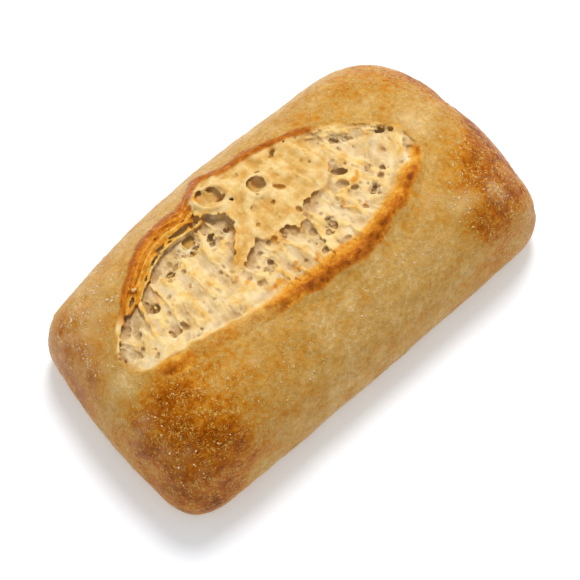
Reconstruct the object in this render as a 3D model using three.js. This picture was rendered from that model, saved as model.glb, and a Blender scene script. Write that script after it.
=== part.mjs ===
// Bread roll: a long pillow of dough with one lengthwise score that has burst open on top.
// Millimetres, +Z up. +X runs along the roll, the origin is the middle of the flat base.

import * as THREE from 'three';

// Driving dimensions
const HEIGHT = 42;          // top of the unbroken crown above the base
const WIDEST_LEVEL = 12;    // height at which the sides bulge furthest
const BASE_INSET = 3;       // how far the flat base stays inside the widest outline
const HALF_LENGTH = 71;
const HALF_WIDTH = 40;

// The widest outline has four corners, each cut by a round of its own size.
// cut: how far the round reaches along both sides. bow: how far the next side bulges outward.
const CORNERS = [
  { x: 67.6, y: -40.4, cut: 12, bow: 1.7 },     // right near
  { x: 72.4, y: 38.3, cut: 36, bow: 4.2 },      // right far
  { x: -65.2, y: 34.6, cut: 9, bow: 1.5 },      // left far
  { x: -72.8, y: -37.3, cut: 17, bow: 0.6 },    // left near
];

// The crown is a flattened dome: the higher the power, the squarer its shoulders
const SIDE_POWER = 3.2;
const END_POWER = 5.8;
const SIDE_DROOP = 0.1;     // extra fall of the long sides, as a share of the dome's height
const RELIEF_POWER = 4;     // the relief on the crown dies out towards the widest outline

// The burst lies between the ear, a curled edge on the near side, and the far lip.
// Both are [x, y] from tip to tip.
const EAR_LINE = [[-61, 2], [-56, -2], [-45, -5.5], [-35, -10], [-19, -12], [-13, -15.5], [0, -18],
  [12, -19], [25, -17], [35, -13.5], [45, -7], [48, -3]];
const FAR_LIP = [[-61, 3], [-50, 13], [-38, 19.5], [-24, 25.5], [-6, 29.5], [10, 26], [22, 21],
  [34, 13.5], [45, 2], [48, -2]];
const TIP_FADE = 5;         // the relief dies out over this length at each tip

// Height of the curled ear along its line, and its slopes to either side
const EAR_HEIGHTS = [[-61, 0], [-45, 0.4], [-22, 0.8], [-12, 1.9], [6, 2.6], [30, 2.1], [43, 1.2], [48, 0]];
const EAR_INNER_WIDTH = 3.2;
const EAR_OUTER_WIDTH = 5.5;
const LIP_HEIGHT = 0.7;
const LIP_WIDTH = 4;

// Depth of the open crumb under the crown, near the ear, in the middle and under the far lip.
// The ranges are shares of the way from the ear to the far lip.
const NEAR_TO_MIDDLE = [0.1, 0.5];
const MIDDLE_TO_FAR = [0.45, 0.8];
const CRUMB_DEPTHS = [
  { x: -61, near: 0.5, middle: 0.8, far: 0.8 },
  { x: -50, near: 2.0, middle: 4.0, far: 5.5 },
  { x: -30, near: 1.6, middle: 5.0, far: 9.0 },
  { x: -15, near: 2.6, middle: 4.2, far: 7.5 },
  { x: 5, near: 2.8, middle: 4.6, far: 4.0 },
  { x: 25, near: 2.6, middle: 4.0, far: 3.6 },
  { x: 38, near: 2.0, middle: 2.8, far: 4.0 },
  { x: 48, near: 0.3, middle: 0.5, far: 0.5 },
];

// The shelf of stretched skin that stays whole under the far lip. edge: [x, y] of its near edge.
const SHELF_START = -14;
const SHELF_END = 27;
const SHELF_EDGE = [[-14, 12], [-9, 6], [-4, 1], [4, -2.2], [11, 2.4], [20, 4.4], [27, 10]];
const SHELF_DEPTH = 1.2;
const SHELF_STEP_WIDTH = 2.8;

// Large bubbles that the burst has opened: centre, half sizes and depth
const BUBBLES = [
  { x: -7.5, y: 22, across: 4.6, along: 4.8, depth: 4.2 },
  { x: 4, y: 16, across: 3.6, along: 4.2, depth: 3.8 },
  { x: 24, y: 2.6, across: 2.0, along: 3.2, depth: 3.6 },
  { x: -17, y: 12.5, across: 4.0, along: 2.6, depth: 2.6 },
  { x: -11.5, y: -5, across: 3.0, along: 2.2, depth: 1.8 },
  { x: 10, y: -6, across: 2.4, along: 2.8, depth: 1.8 },
  { x: 32, y: -4, across: 2.0, along: 3.2, depth: 1.6 },
];

// Broad lumps of the crust: centre, reach and height
const LUMPS = [
  { x: -52, y: -22, reach: 16, height: 0.9 },
  { x: -20, y: -29, reach: 13, height: -0.7 },
  { x: 12, y: -30, reach: 12, height: 0.5 },
  { x: 38, y: -27, reach: 12, height: -0.6 },
  { x: 56, y: -20, reach: 12, height: 0.7 },
  { x: 54, y: 18, reach: 14, height: 0.6 },
  { x: -56, y: 20, reach: 12, height: -0.6 },
];

// Mesh density. The rings crowd towards the rim, where the crown is steepest.
const RIM_CROWDING = 0.3;
const CELLS_LONG = 78;
const CELLS_WIDE = 42;
const CELLS_DEEP = 5;
const POINTS_PER_CURVE = 40;

const { lerp, smoothstep } = THREE.MathUtils;

const crustMaterial = new THREE.MeshStandardMaterial({ color: 0xc9965a, roughness: 0.62, metalness: 0 });

// Smooth curves through a few stations

function curveThrough(stations) {
  const places = stations.map((station) => station[0]);
  const values = stations.map((station) => station[1]);
  const curve = new THREE.CubicInterpolant(places, values, 1);
  return (place) => curve.evaluate(place)[0];
}

const earY = curveThrough(EAR_LINE);
const farLipY = curveThrough(FAR_LIP);
const earHeight = curveThrough(EAR_HEIGHTS);
const shelfEdgeY = curveThrough(SHELF_EDGE);
const nearDepth = curveThrough(CRUMB_DEPTHS.map((station) => [station.x, station.near]));
const middleDepth = curveThrough(CRUMB_DEPTHS.map((station) => [station.x, station.middle]));
const farDepth = curveThrough(CRUMB_DEPTHS.map((station) => [station.x, station.far]));

// Outline

function outlinePoints() {
  const corners = CORNERS.map((corner) => new THREE.Vector2(corner.x, corner.y));
  const points = [];
  CORNERS.forEach((corner, index) => {
    const here = corners[index];
    const previous = corners.at(index - 1);
    const next = corners[(index + 1) % corners.length];
    const nextCut = CORNERS[(index + 1) % corners.length].cut;
    const roundStart = towards(here, previous, corner.cut);
    const roundEnd = towards(here, next, corner.cut);
    const sideEnd = towards(next, here, nextCut);
    const outward = sideEnd.clone().sub(roundEnd).normalize();
    outward.set(outward.y, -outward.x);
    const bulge = roundEnd.clone().lerp(sideEnd, 0.5).addScaledVector(outward, 2 * corner.bow);
    for (const curve of [
      new THREE.QuadraticBezierCurve(roundStart, here, roundEnd),
      new THREE.QuadraticBezierCurve(roundEnd, bulge, sideEnd),
    ]) {
      points.push(...curve.getPoints(POINTS_PER_CURVE).slice(0, -1));
    }
  });
  return points;
}

function towards(from, to, distance) {
  return from.clone().add(to.clone().sub(from).setLength(distance));
}

// Distance from the middle to the outline in any direction
function outlineReach(points) {
  const polar = points.map((point) => ({ angle: point.angle(), reach: point.length() }));
  polar.sort((a, b) => a.angle - b.angle);
  const last = polar.at(-1);
  const first = polar[0];
  const turn = 2 * Math.PI;
  const ring = [
    { angle: last.angle - turn, reach: last.reach },
    ...polar,
    { angle: first.angle + turn, reach: first.reach },
  ];
  return curveThrough(ring.map((entry) => [entry.angle, entry.reach]));
}

const reach = outlineReach(outlinePoints());

// Heights

// share: 0 in the middle of the roll, 1 on its widest outline
function crownHeight(share, x, y) {
  const endwise = (x / HALF_LENGTH) ** 2;
  const sidewise = (y / HALF_WIDTH) ** 2;
  const endness = endwise / Math.max(endwise + sidewise, 1e-9);
  const dome = Math.sqrt(Math.max(0, 1 - share ** lerp(SIDE_POWER, END_POWER, endness)));
  const droop = 1 - SIDE_DROOP * share ** 2 * (1 - endness);
  return WIDEST_LEVEL + (HEIGHT - WIDEST_LEVEL) * dome * droop;
}

function lumpHeight(x, y) {
  let height = 0;
  for (const lump of LUMPS) {
    const away = Math.hypot(x - lump.x, y - lump.y) / lump.reach;
    height += lump.height * Math.exp(-away * away);
  }
  return height;
}

function bubbleDepth(x, y) {
  let depth = 0;
  for (const bubble of BUBBLES) {
    const away = Math.hypot((x - bubble.x) / bubble.across, (y - bubble.y) / bubble.along);
    depth += bubble.depth * Math.sqrt(Math.max(0, 1 - away * away));
  }
  return depth;
}

// Depth of the crumb between the ear (place 0) and the far lip (place 1)
function crumbDepth(x, place) {
  const nearHalf = lerp(nearDepth(x), middleDepth(x), smoothstep(place, ...NEAR_TO_MIDDLE));
  return lerp(nearHalf, farDepth(x), smoothstep(place, ...MIDDLE_TO_FAR));
}

function shelfShare(x, y) {
  const lengthwise = smoothstep(x, SHELF_START, SHELF_START + TIP_FADE)
    * (1 - smoothstep(x, SHELF_END - TIP_FADE, SHELF_END));
  const edge = shelfEdgeY(x);
  return lengthwise * smoothstep(y, edge - SHELF_STEP_WIDTH / 2, edge + SHELF_STEP_WIDTH / 2);
}

// Height of the burst above or below the crown
function burstRelief(x, y) {
  const start = EAR_LINE[0][0];
  const end = EAR_LINE.at(-1)[0];
  const tips = smoothstep(x, start, start + TIP_FADE) * (1 - smoothstep(x, end - TIP_FADE, end));
  const beyondEar = y - earY(x);
  const beforeLip = farLipY(x) - y;
  const earWidth = beyondEar > 0 ? EAR_INNER_WIDTH : EAR_OUTER_WIDTH;
  const ear = earHeight(x) * Math.exp(-((beyondEar / earWidth) ** 2));
  const lip = LIP_HEIGHT * Math.exp(-((beforeLip / LIP_WIDTH) ** 2));
  const inside = smoothstep(beyondEar, 0, EAR_INNER_WIDTH) * smoothstep(beforeLip, 0, LIP_WIDTH);
  const place = beyondEar / Math.max(beyondEar + beforeLip, 1);
  const bed = lerp(crumbDepth(x, place), SHELF_DEPTH, shelfShare(x, y)) + bubbleDepth(x, y);
  return tips * (ear + lip - inside * bed);
}

function topHeight(share, x, y) {
  const edgeFade = 1 - share ** RELIEF_POWER;
  return crownHeight(share, x, y) + edgeFade * (lumpHeight(x, y) + burstRelief(x, y));
}

// Surface

// A square grid drawn out to the outline: 0 in the middle, 1 at the edge of the grid
function topPoint(column, row) {
  const s = (2 * column) / CELLS_LONG - 1;
  const t = (2 * row) / CELLS_WIDE - 1;
  const ringShare = Math.max(Math.abs(s), Math.abs(t));
  if (ringShare === 0) {
    return new THREE.Vector3(0, 0, topHeight(0, 0, 0));
  }
  const share = lerp(ringShare, Math.sin((ringShare * Math.PI) / 2), RIM_CROWDING);
  const direction = new THREE.Vector2(s * HALF_LENGTH, t * HALF_WIDTH);
  const distance = share * reach(direction.angle());
  direction.setLength(distance);
  return new THREE.Vector3(direction.x, direction.y, topHeight(share, direction.x, direction.y));
}

// Grid places round the rim, anticlockwise seen from above
function rimPlaces() {
  const places = [];
  for (let column = 0; column < CELLS_LONG; column += 1) places.push([column, 0]);
  for (let row = 0; row < CELLS_WIDE; row += 1) places.push([CELLS_LONG, row]);
  for (let column = CELLS_LONG; column > 0; column -= 1) places.push([column, CELLS_WIDE]);
  for (let row = CELLS_WIDE; row > 0; row -= 1) places.push([0, row]);
  return places;
}

// Below its widest level the side turns in to the base as a quarter round
function sidePoint(rim, outward, step) {
  const turn = (step / CELLS_DEEP) * (Math.PI / 2);
  const inset = BASE_INSET * (1 - Math.cos(turn));
  return new THREE.Vector3(
    rim.x - outward.x * inset,
    rim.y - outward.y * inset,
    WIDEST_LEVEL * (1 - Math.sin(turn)),
  );
}

function rollGeometry() {
  const points = [];
  const faces = [];
  const across = CELLS_WIDE + 1;
  for (let column = 0; column <= CELLS_LONG; column += 1) {
    for (let row = 0; row <= CELLS_WIDE; row += 1) {
      points.push(topPoint(column, row));
    }
  }
  for (let column = 0; column < CELLS_LONG; column += 1) {
    for (let row = 0; row < CELLS_WIDE; row += 1) {
      const corner = column * across + row;
      faces.push(corner, corner + across, corner + across + 1);
      faces.push(corner, corner + across + 1, corner + 1);
    }
  }

  const rim = rimPlaces().map(([column, row]) => column * across + row);
  const count = rim.length;
  let upperRing = rim;
  for (let step = 1; step <= CELLS_DEEP; step += 1) {
    const lowerRing = rim.map((index, place) => {
      const before = points[rim.at(place - 1)];
      const after = points[rim[(place + 1) % count]];
      const outward = new THREE.Vector2(after.y - before.y, before.x - after.x).normalize();
      points.push(sidePoint(points[index], outward, step));
      return points.length - 1;
    });
    for (let place = 0; place < count; place += 1) {
      const next = (place + 1) % count;
      faces.push(upperRing[place], lowerRing[place], lowerRing[next]);
      faces.push(upperRing[place], lowerRing[next], upperRing[next]);
    }
    upperRing = lowerRing;
  }

  const baseOutline = upperRing.map((index) => new THREE.Vector2(points[index].x, points[index].y));
  for (const [a, b, c] of THREE.ShapeUtils.triangulateShape(baseOutline, [])) {
    faces.push(upperRing[a], upperRing[c], upperRing[b]);
  }

  const geometry = new THREE.BufferGeometry().setFromPoints(points);
  geometry.setIndex(faces);
  geometry.computeBoundingBox();
  const middle = geometry.boundingBox.getCenter(new THREE.Vector3());
  geometry.translate(-middle.x, -middle.y, -geometry.boundingBox.min.z);
  geometry.computeVertexNormals();
  return geometry;
}

const breadRoll = new THREE.Mesh(rollGeometry(), crustMaterial);
breadRoll.name = 'bread_roll';

const part = new THREE.Group();
part.add(breadRoll);

export default part;
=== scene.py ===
"""A crusty bread roll whose lengthwise score has burst open over its crumb.

Plan sizes are in millimetres and become metres where a mesh is made. +X runs along the roll,
the ear is on the -Y side of the burst and the far lip on its +Y side.
"""

import contextlib
import itertools
import math

import bpy
import numpy as np
from mathutils import Matrix, Vector


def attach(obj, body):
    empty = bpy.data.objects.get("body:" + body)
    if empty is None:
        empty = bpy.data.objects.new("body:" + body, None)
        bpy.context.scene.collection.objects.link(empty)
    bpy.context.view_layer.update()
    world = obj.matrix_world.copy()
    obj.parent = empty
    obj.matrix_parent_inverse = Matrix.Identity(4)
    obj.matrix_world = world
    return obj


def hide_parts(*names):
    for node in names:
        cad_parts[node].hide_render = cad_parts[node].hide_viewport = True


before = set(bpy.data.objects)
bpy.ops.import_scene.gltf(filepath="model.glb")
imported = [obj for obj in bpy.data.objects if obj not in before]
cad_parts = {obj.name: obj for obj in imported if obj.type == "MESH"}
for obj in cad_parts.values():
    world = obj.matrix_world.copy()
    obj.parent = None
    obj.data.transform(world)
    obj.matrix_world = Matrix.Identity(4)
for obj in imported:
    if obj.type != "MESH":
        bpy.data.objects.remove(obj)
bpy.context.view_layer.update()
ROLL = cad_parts["bread_roll"]

MM = 0.001

# The roll's crown, as the solid has it
CROWN_HEIGHT = 42.0
WIDEST_LEVEL = 12.0
HALF_LENGTH = 71.0
HALF_WIDTH = 40.0
SIDE_POWER = 3.2
END_POWER = 5.8
SIDE_DROOP = 0.1

# The burst: the crest of the curled ear and the far lip, as (x, y) from tip to tip
EAR_LINE = [
    (-61, 1), (-57, -3.2), (-51, -6), (-45, -7.6), (-40, -8.8), (-35, -10.2), (-28, -12), (-20, -14),
    (-14, -15.8), (-8, -17.4), (0, -18.7), (8, -19.4), (15, -19.2), (25, -17.2), (35, -13.6), (42, -9.8),
    (45.5, -7.2), (48, -3),
]
FAR_LIP = [
    (-61, 3), (-56, 8.5), (-50, 13.5), (-43, 18.5), (-38, 22), (-30, 26), (-24, 27.3), (-15, 27),
    (-10, 29.5), (-5, 32.5), (0, 29), (10, 26.6), (22, 21.4), (30, 16.5), (38, 10), (45, 2), (48, -2),
]
TIP_FADE = 4.0

# Depth of the crumb under the crown: near the ear, in the middle, under the far lip
CRUMB_DEPTHS = [
    (-61, 0.3, 0.6, 0.6), (-55, 0.9, 1.8, 2.4), (-48, 1.1, 2.4, 3.6), (-42, 1.1, 2.2, 3.6),
    (-36, 1.1, 2.2, 4.2), (-28, 1.1, 2.2, 4.6), (-18, 1.1, 2.1, 4.2), (-10, 1.1, 1.9, 3.0),
    (5, 1.1, 1.7, 2.0), (20, 1.1, 1.7, 1.4), (30, 1.1, 1.8, 1.3), (38, 0.9, 1.5, 1.1), (44, 0.5, 0.8, 0.7),
    (48, 0.2, 0.3, 0.3),
]
# Width of the torn wall that rises from the crumb to the far lip
FAR_WALL_WIDTHS = [
    (-61, 1.0), (-54, 2.0), (-50, 2.7), (-43, 4.8), (-38, 6.0), (-33, 5.8), (-25, 6.6), (-18, 7.2),
    (-12, 7.6), (-5, 4.5), (20, 3.5), (34, 4.0), (48, 1.5),
]
# The ear: its height over the crown, and the widths of its inner and outer slopes
EAR_HEIGHTS = [
    (-61, 0.0), (-54, 0.4), (-38, 0.7), (-25, 1.0), (-14, 2.0), (-4, 2.8), (8, 3.2), (28, 2.9), (41, 1.9),
    (48, 0.0),
]
EAR_INNER_WIDTHS = [
    (-61, 1.0), (-50, 2.4), (-30, 3.4), (-14, 4.4), (0, 4.8), (20, 4.4), (35, 3.4), (48, 1.0),
]
EAR_OUTER_WIDTH = 2.3
# Where along it the ear is hardly toasted: middle and half length
PALE_PART_OF_EAR = (-29, 6.0)
LIP_RISE = 0.35
LIP_WIDTH = 2.0
# How far the finely modelled piece reaches past the ear's crest and the far lip
NEAR_MARGINS = [
    (-61, 2.4), (-50, 4.4), (-25, 5.0), (-10, 5.4), (30, 5.4), (42, 4.4), (48, 2.4),
]
FAR_MARGIN = 2.8
TIP_MARGIN = 0.2
# Its edge slips under the crust over this width, to this depth
SEAM_WIDTH = 2.4
SEAM_DEPTH = 0.3

# The stretched skin that stays whole under the far lip, seen from above
SKIN_OUTLINE = [
    (-15, 25), (-13.6, 20), (-11, 17), (-8.6, 14), (-9.4, 10.8), (-12, 7.4), (-15.4, 4.6), (-19.4, 1.4),
    (-22.6, -1.6), (-17, -0.6), (-13, 0.6), (-10, 3), (-8, 4), (-5.5, 1.2), (-3.5, -0.8), (-0.5, 0.4),
    (1, 0.5), (1.8, -1.2), (3.5, -2.4), (6, -2), (7, -0.3), (9, 0.8), (11, 2.6), (14, 2.2), (18, 2.4),
    (20.5, 4.6), (22.5, 5), (24.8, 7.5), (25.5, 12), (24.5, 15.5), (28, 18), (30, 24), (20, 32), (5, 38),
    (-10, 38),
]
SKIN_TAIL = 8
SKIN_DEPTH = 0.8
FLAP_THICKNESS = 0.6
FLAP_REACH = 1.2
FLAP_HOLLOW = 0.4
# Thick rims round the two largest bubbles: x, y, half length, half width, turn in degrees, height, width
RIMS = [(-7.4, 22.8, 5.0, 4.3, -46, 1.6, 0.95), (4.1, 15.6, 3.7, 3.6, 0, 0.7, 0.8)]

# Ridges drawn out in the skin: height, half width, then (x, y, 0) points
SKIN_RIDGES = [
    (1.5, 1.5, [(-2.5, 19, 0), (-7.4, 15.4, 0), (-9.2, 11, 0), (-12, 7.2, 0), (-16.5, 3.6, 0)]),
    (0.9, 1.4, [(-2.5, 27, 0), (0, 21, 0), (-0.4, 16, 0), (-4, 10, 0), (-7, 5, 0)]),
    (0.8, 1.3, [(9, 19, 0), (12.6, 13.4, 0), (15, 6, 0)]),
    (0.7, 1.2, [(17, 22, 0), (20, 16.4, 0), (21.6, 9, 0)]),
]

# Openings of the large bubbles: x, y, half width, half length, depth, turn in degrees
SKIN_BUBBLES = [
    (-7.4, 22.8, 4.3, 3.6, 2.2, -46), (-5.6, 20.6, 2.0, 1.3, 4.8, -20), (4.1, 15.6, 3.2, 3.1, 2.2, -50),
    (5.2, 16.8, 2.2, 1.3, 3.6, -52), (8.1, 11.0, 1.9, 0.9, 1.6, -48), (15.6, 9.6, 1.5, 1.9, 0.7, 20),
    (3.5, 8.6, 0.9, 0.5, 1.4, 30), (-4.4, 6.4, 0.8, 0.6, 1.0, 30), (-1.7, 11.2, 1.0, 1.3, 0.5, 0),
    (15.2, 21.2, 1.1, 0.7, 3.0, 20), (14.0, 20.2, 0.6, 0.5, 1.6, 0), (19.4, 21.0, 0.6, 0.5, 1.6, 0),
    (12.7, 18.9, 0.4, 0.5, 1.2, 0), (7.2, 19.1, 1.3, 0.4, 1.4, -50), (2.8, 23.0, 0.7, 0.4, 1.2, 0),
    (7.1, 1.9, 0.9, 1.2, 1.6, 0), (23.0, 14.0, 0.6, 0.4, 0.9, 20),
]
CRUMB_BUBBLES = [
    (-33.6, 16.5, 3.1, 0.9, 3.6, 28), (-21.5, 14.2, 1.9, 1.1, 3.1, 35), (-24.5, 15.3, 0.9, 0.7, 2.9, 20),
    (-16.5, 12.3, 1.3, 0.9, 2.4, 10), (-14.3, 11.3, 1.2, 0.9, 2.4, -10), (-15.2, 14.2, 1.9, 1.0, 1.9, 10),
    (-11.0, 12.3, 1.1, 1.0, 2.7, 0), (-20.4, 18.2, 2.3, 1.4, 2.0, 15), (-31.2, 13.3, 1.4, 1.1, 2.5, 20),
    (-32.9, 11.9, 0.9, 0.6, 1.9, 20), (-28.6, 14.6, 1.6, 0.6, 1.7, 30), (-18.2, 9.8, 1.0, 0.7, 1.3, 0),
    (-51.5, 11.2, 3.4, 0.8, 2.7, 38), (-56.4, 7.4, 2.0, 0.7, 1.4, 48), (-47.4, 13.0, 1.6, 0.8, 2.8, 20),
    (-41.5, 8.4, 1.4, 1.8, 1.3, 10), (-61.0, 3.9, 0.5, 0.8, 1.3, 10), (-59.2, 2.7, 0.6, 0.8, 1.4, 10),
    (-43.8, -0.6, 0.8, 1.2, 1.4, 0), (-41.6, -1.6, 0.7, 0.9, 1.3, 0), (-39.9, -0.9, 0.6, 1.0, 1.2, 0),
    (-11.2, -5.0, 2.2, 1.7, 1.7, 20), (-9.3, -3.8, 1.0, 1.0, 2.3, 0), (-10.0, 0.2, 0.8, 0.7, 1.4, 0),
    (-4.4, 0.1, 1.2, 0.9, 1.9, 20), (-1.4, -1.2, 0.7, 0.6, 1.4, 0), (5.5, -5.6, 1.5, 1.1, 0.9, -30),
    (11.0, -5.4, 1.0, 0.7, 1.7, 10), (9.8, -6.6, 0.8, 0.9, 1.7, 0), (11.6, -7.0, 0.7, 0.8, 1.7, 0),
    (11.2, -8.4, 1.1, 0.7, 1.5, 0), (8.5, -9.0, 1.5, 1.2, 1.2, -10), (13.8, -12.0, 1.2, 0.9, 1.3, 0),
    (10.8, -13.7, 1.2, 0.8, 1.3, -20), (5.3, -9.9, 1.1, 0.8, 1.0, 0), (3.6, -12.2, 1.2, 1.1, 1.4, 0),
    (-4.8, -10.0, 1.7, 1.0, 1.5, -20), (3.4, -15.6, 0.8, 0.5, 1.3, 0), (1.2, -15.0, 0.5, 0.4, 1.2, 0),
    (24.0, 2.6, 2.6, 1.4, 2.5, -32), (22.6, 4.0, 1.3, 1.0, 3.0, 20), (21.6, -0.6, 2.0, 1.3, 1.6, -40),
    (23.4, -3.8, 1.2, 0.8, 1.7, -20), (26.6, 3.6, 0.5, 0.6, 1.4, 0), (31.0, -1.6, 1.3, 0.7, 1.3, -10),
    (33.6, -4.4, 1.2, 1.0, 1.5, 0), (31.4, -6.0, 0.9, 0.9, 1.5, 0), (27.4, -7.4, 1.0, 0.7, 1.6, 10),
    (26.0, -8.4, 0.7, 0.6, 1.4, 0), (37.4, 8.4, 2.6, 0.8, 1.8, -42), (41.0, 4.6, 1.7, 0.9, 1.8, -42),
    (43.6, 2.4, 0.9, 0.7, 1.5, -42), (29.6, 11.0, 1.5, 0.6, 1.6, -40), (33.2, 8.4, 1.4, 0.5, 1.4, -42),
    (49.4, -4.6, 0.8, 0.8, 0.8, 0),
]
# Hollows webbed with thin walls: x, y, half length, half width, turn in degrees, depth
WEBS = [
    (40.0, 6.3, 6.6, 1.6, -43, 0.975), (30.6, 10.4, 4.4, 1.4, -42, 0.675),
    (31.6, -3.4, 3.6, 3.2, -30, 0.825), (27.0, -7.6, 2.8, 1.6, 10, 0.825),
    (36.6, -7.2, 4.4, 1.3, 12, 0.525), (11.0, -6.9, 2.8, 2.4, 0, 0.75), (4.6, -11.0, 2.4, 1.8, 0, 0.525),
    (-14.6, 12.6, 4.6, 2.4, -5, 1.125), (-21.5, 16.2, 4.0, 3.0, 20, 1.125),
    (-29.0, 15.2, 4.6, 2.2, 28, 1.125), (-11.0, -4.6, 3.4, 2.6, 10, 0.9), (-52.0, 7.6, 5.4, 2.6, 38, 0.675),
    (-43.6, 9.8, 3.4, 2.4, 30, 0.675), (-41.8, -1.2, 3.4, 1.4, 10, 0.525), (-58.6, 3.8, 2.4, 1.6, 20, 0.6),
    (-22.0, 4.0, 3.0, 1.2, 60, 0.3), (-34.0, 3.0, 3.6, 1.2, 70, 0.3),
]
# Golden blotches on the torn surface: x, y, half length, half width, turn in degrees, amount
BLOTCHES = [
    (25.5, -1.7, 1.8, 1.2, 20, 1.0), (18.0, -4.7, 2.2, 1.0, 60, 0.7), (7.5, -15.0, 3.6, 1.4, 0, 0.8),
    (0.8, -11.7, 1.2, 1.0, 0, 0.9), (-4.8, -10.0, 1.8, 1.1, -20, 0.9), (-12.8, -10.4, 4.0, 1.4, -12, 0.9),
    (-18.5, -4.0, 1.6, 1.2, 0, 0.8), (45.8, 1.0, 2.0, 1.2, -40, 0.9), (22.0, -9.8, 2.0, 1.0, 30, 0.6),
    (14.6, -2.6, 1.0, 2.4, 20, 0.5), (-8.0, 8.0, 1.4, 3.6, -16, 0.5), (-11.8, 3.6, 1.2, 3.0, -40, 0.5),
    (2.5, 14.4, 0.8, 2.6, -30, 0.6), (0.0, 19.0, 1.6, 2.0, 0, 0.4), (-10.4, 25.4, 1.6, 2.6, 40, 0.8),
    (-39.0, 11.0, 1.4, 2.4, 0, 0.5), (-45.4, 6.0, 1.0, 3.6, 8, 0.5), (-24.0, -6.6, 2.4, 1.0, -12, 0.5),
    (38.0, 1.0, 2.2, 1.6, 30, 0.4), (28.0, 6.0, 2.2, 1.4, -30, 0.4), (4.0, 3.0, 4.4, 1.4, 10, 0.5),
    (-27.0, 6.6, 1.0, 2.6, -10, 0.35), (-20.0, -1.0, 1.2, 2.2, -50, 0.6), (16.0, 16.0, 2.6, 1.6, -30, 0.35),
]

# Thick strands of dough across the hollows: radius, then (x, y, height above what lies below)
STRANDS = [
    (0.85, [(-42.6, 17.2, 0.2), (-43.2, 14.0, 0.9), (-44.6, 10.4, 1.2), (-46.0, 6.4, 0.5), (-47.2, 1.0, -0.2),
            (-47.6, -2.0, -0.6)]),
    (0.45, [(-37.6, 15.2, 0.2), (-37.8, 11.8, 0.6), (-38.4, 7.2, 0.1), (-38.8, 1.0, -0.2),
            (-38.6, -2.0, -0.5)]),
]
# How many webbing strands each square millimetre of a hollow has
WEB_STRANDS = 0.14
# Ribbons of toasted dough along the left half of the far lip: how dark each is, and how far
# below the one before each next one lies
RIBBON_LEVELS = np.array([0.60, 0.42, 0.64, 0.32, 0.50, 0.38, 0.18])
RIBBONS = len(RIBBON_LEVELS)
RIBBON_STEP_DOWN = 0.42
# Fine strands drawn out along the right half of the far lip
LIP_STRANDS = 6

# Camera, as the photograph was taken
CAMERA_AZIMUTH = -44.0
CAMERA_ELEVATION = 65.0
CAMERA_DISTANCE = 0.8
IMAGE_SIZE = 580
FOCAL_PIXELS = 2745
SENSOR_WIDTH = 36.0
AIM = Vector((0.54, -1.21, 0.0)) * MM
CAMERA_LIFT = 1.05 * MM

# The crumb's mesh is thinned to this many triangles
CRUMB_TRIANGLES = 192_000
VOXEL = 0.27 * MM
ROUGH_VOXEL = 0.33 * MM
BUBBLE_VOXEL = 0.22 * MM

# How the burst is made, in millimetres where it is a length
EAR_CREST_SHARE = 0.9
EAR_POWER = 1.7
NEAR_TO_MIDDLE = (0.1, 0.5)
MIDDLE_TO_FAR = (0.45, 0.8)
WEB_SAG = 0.4
OVER_CRUST = 0.06
SKIN_CURL = 0.35
SCATTERED_BUBBLES = 1500
SKIN_BUBBLE_SHARE = 0.3
LARGE_BUBBLE = 2.5
# How far crumb fibres lean from across the burst, in degrees, by place along it
LEANS = [(-60, -35), (-35, -12), (0, 0), (30, 15), (48, 55)]
# The fold that hangs under the far lip
FOLD_WIDTH = 3.4
FOLD_LENGTH = 14
FOLD_HEIGHT = 1.5
# The blocks that are cut and joined, by their levels
BLOCK_BOTTOM = 20
CUTTER_TOP = 60
CUTTER_HEIGHT = 36
TRIM_LEVEL = 27
TOP_LEVELS = (24, 30)
HIDDEN_SHARE_KEPT = 0.08
RIBBON_LEFT = -57
RIBBON_RIGHT = -10
STRAND_SEED = 11

# The crust: blisters, how far it sinks under the crumb, and how dark it is baked
BLISTER_SPACING = 2.2
BLISTER_HEIGHT = 0.16
CRUST_SINKS = 6.0
BASE_BAKE = 0.40
DARKEST_BAKE = 0.84

# Materials: cells of the fine skin for each metre, and how far its specks are swayed in metres
CRUST_FINENESS = 1000.0
CRUMB_FINENESS = 1700.0
SPECK_SWAY = 0.0007
BUMP_STRENGTH = 0.7
WARM_SHEEN = (1.0, 0.76, 0.44, 1.0)

# Stage
WHITE = (1, 1, 1, 1)
FLOOR_SIZE = 6
FLOOR_COLOUR = (0.86, 0.89, 0.93, 1)
FLOOR_GLOW = 0.21
WINDOW_PLACE = (0.40, 0.34, 1.05)
WINDOW_SIZE = 0.40
WINDOW_POWER = 9.4
SKY_STRENGTH = 0.58

# Noises, each layer as its height, the size of its lumps and its seed
SKIN_RAGGEDNESS = [(0.6, 2.0, 5), (0.75, 1.1, 6)]
GOLD_RAGGEDNESS = [(0.9, 1.7, 97)]
EAR_UNEVENNESS = [(0.28, 4.0, 13), (0.10, 1.6, 14)]
CRUMB_SWELL = [(0.5, 6.0, 11), (0.45, 2.8, 12)]
SKIN_SWELL = [(0.35, 5.0, 15), (0.15, 2.2, 16)]
RIDGE_UNEVENNESS = [(0.3, 3.0, 18)]
FOLD_SWAY = [(1.4, 6.0, 27)]
FIBRE_SWAY = [(1.8, 5.5, 20)]
CELL_SWAY = [(0.6, 2.5, 26)]
SKIN_LUMPS = [(0.24, 2.6, 72), (0.08, 1.1, 73)]
CRUST_LUMPS = [(0.22, 9, 31), (0.13, 3.6, 32), (0.06, 1.4, 33)]
CREST_LUMPS = [(0.14, 2.6, 82)]
COLOUR_WANDER = [(1.2, 3.0, 98)]
TOAST_WANDER = [(0.8, 5.0, 91), (0.3, 1.8, 92)]
TOAST_BLOTCHES = [(0.20, 3.4, 99), (0.16, 1.3, 100)]
TOAST_GAPS = [(0.5, 6.0, 96)]
LIP_GAPS = [(0.4, 5.0, 93)]
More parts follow.
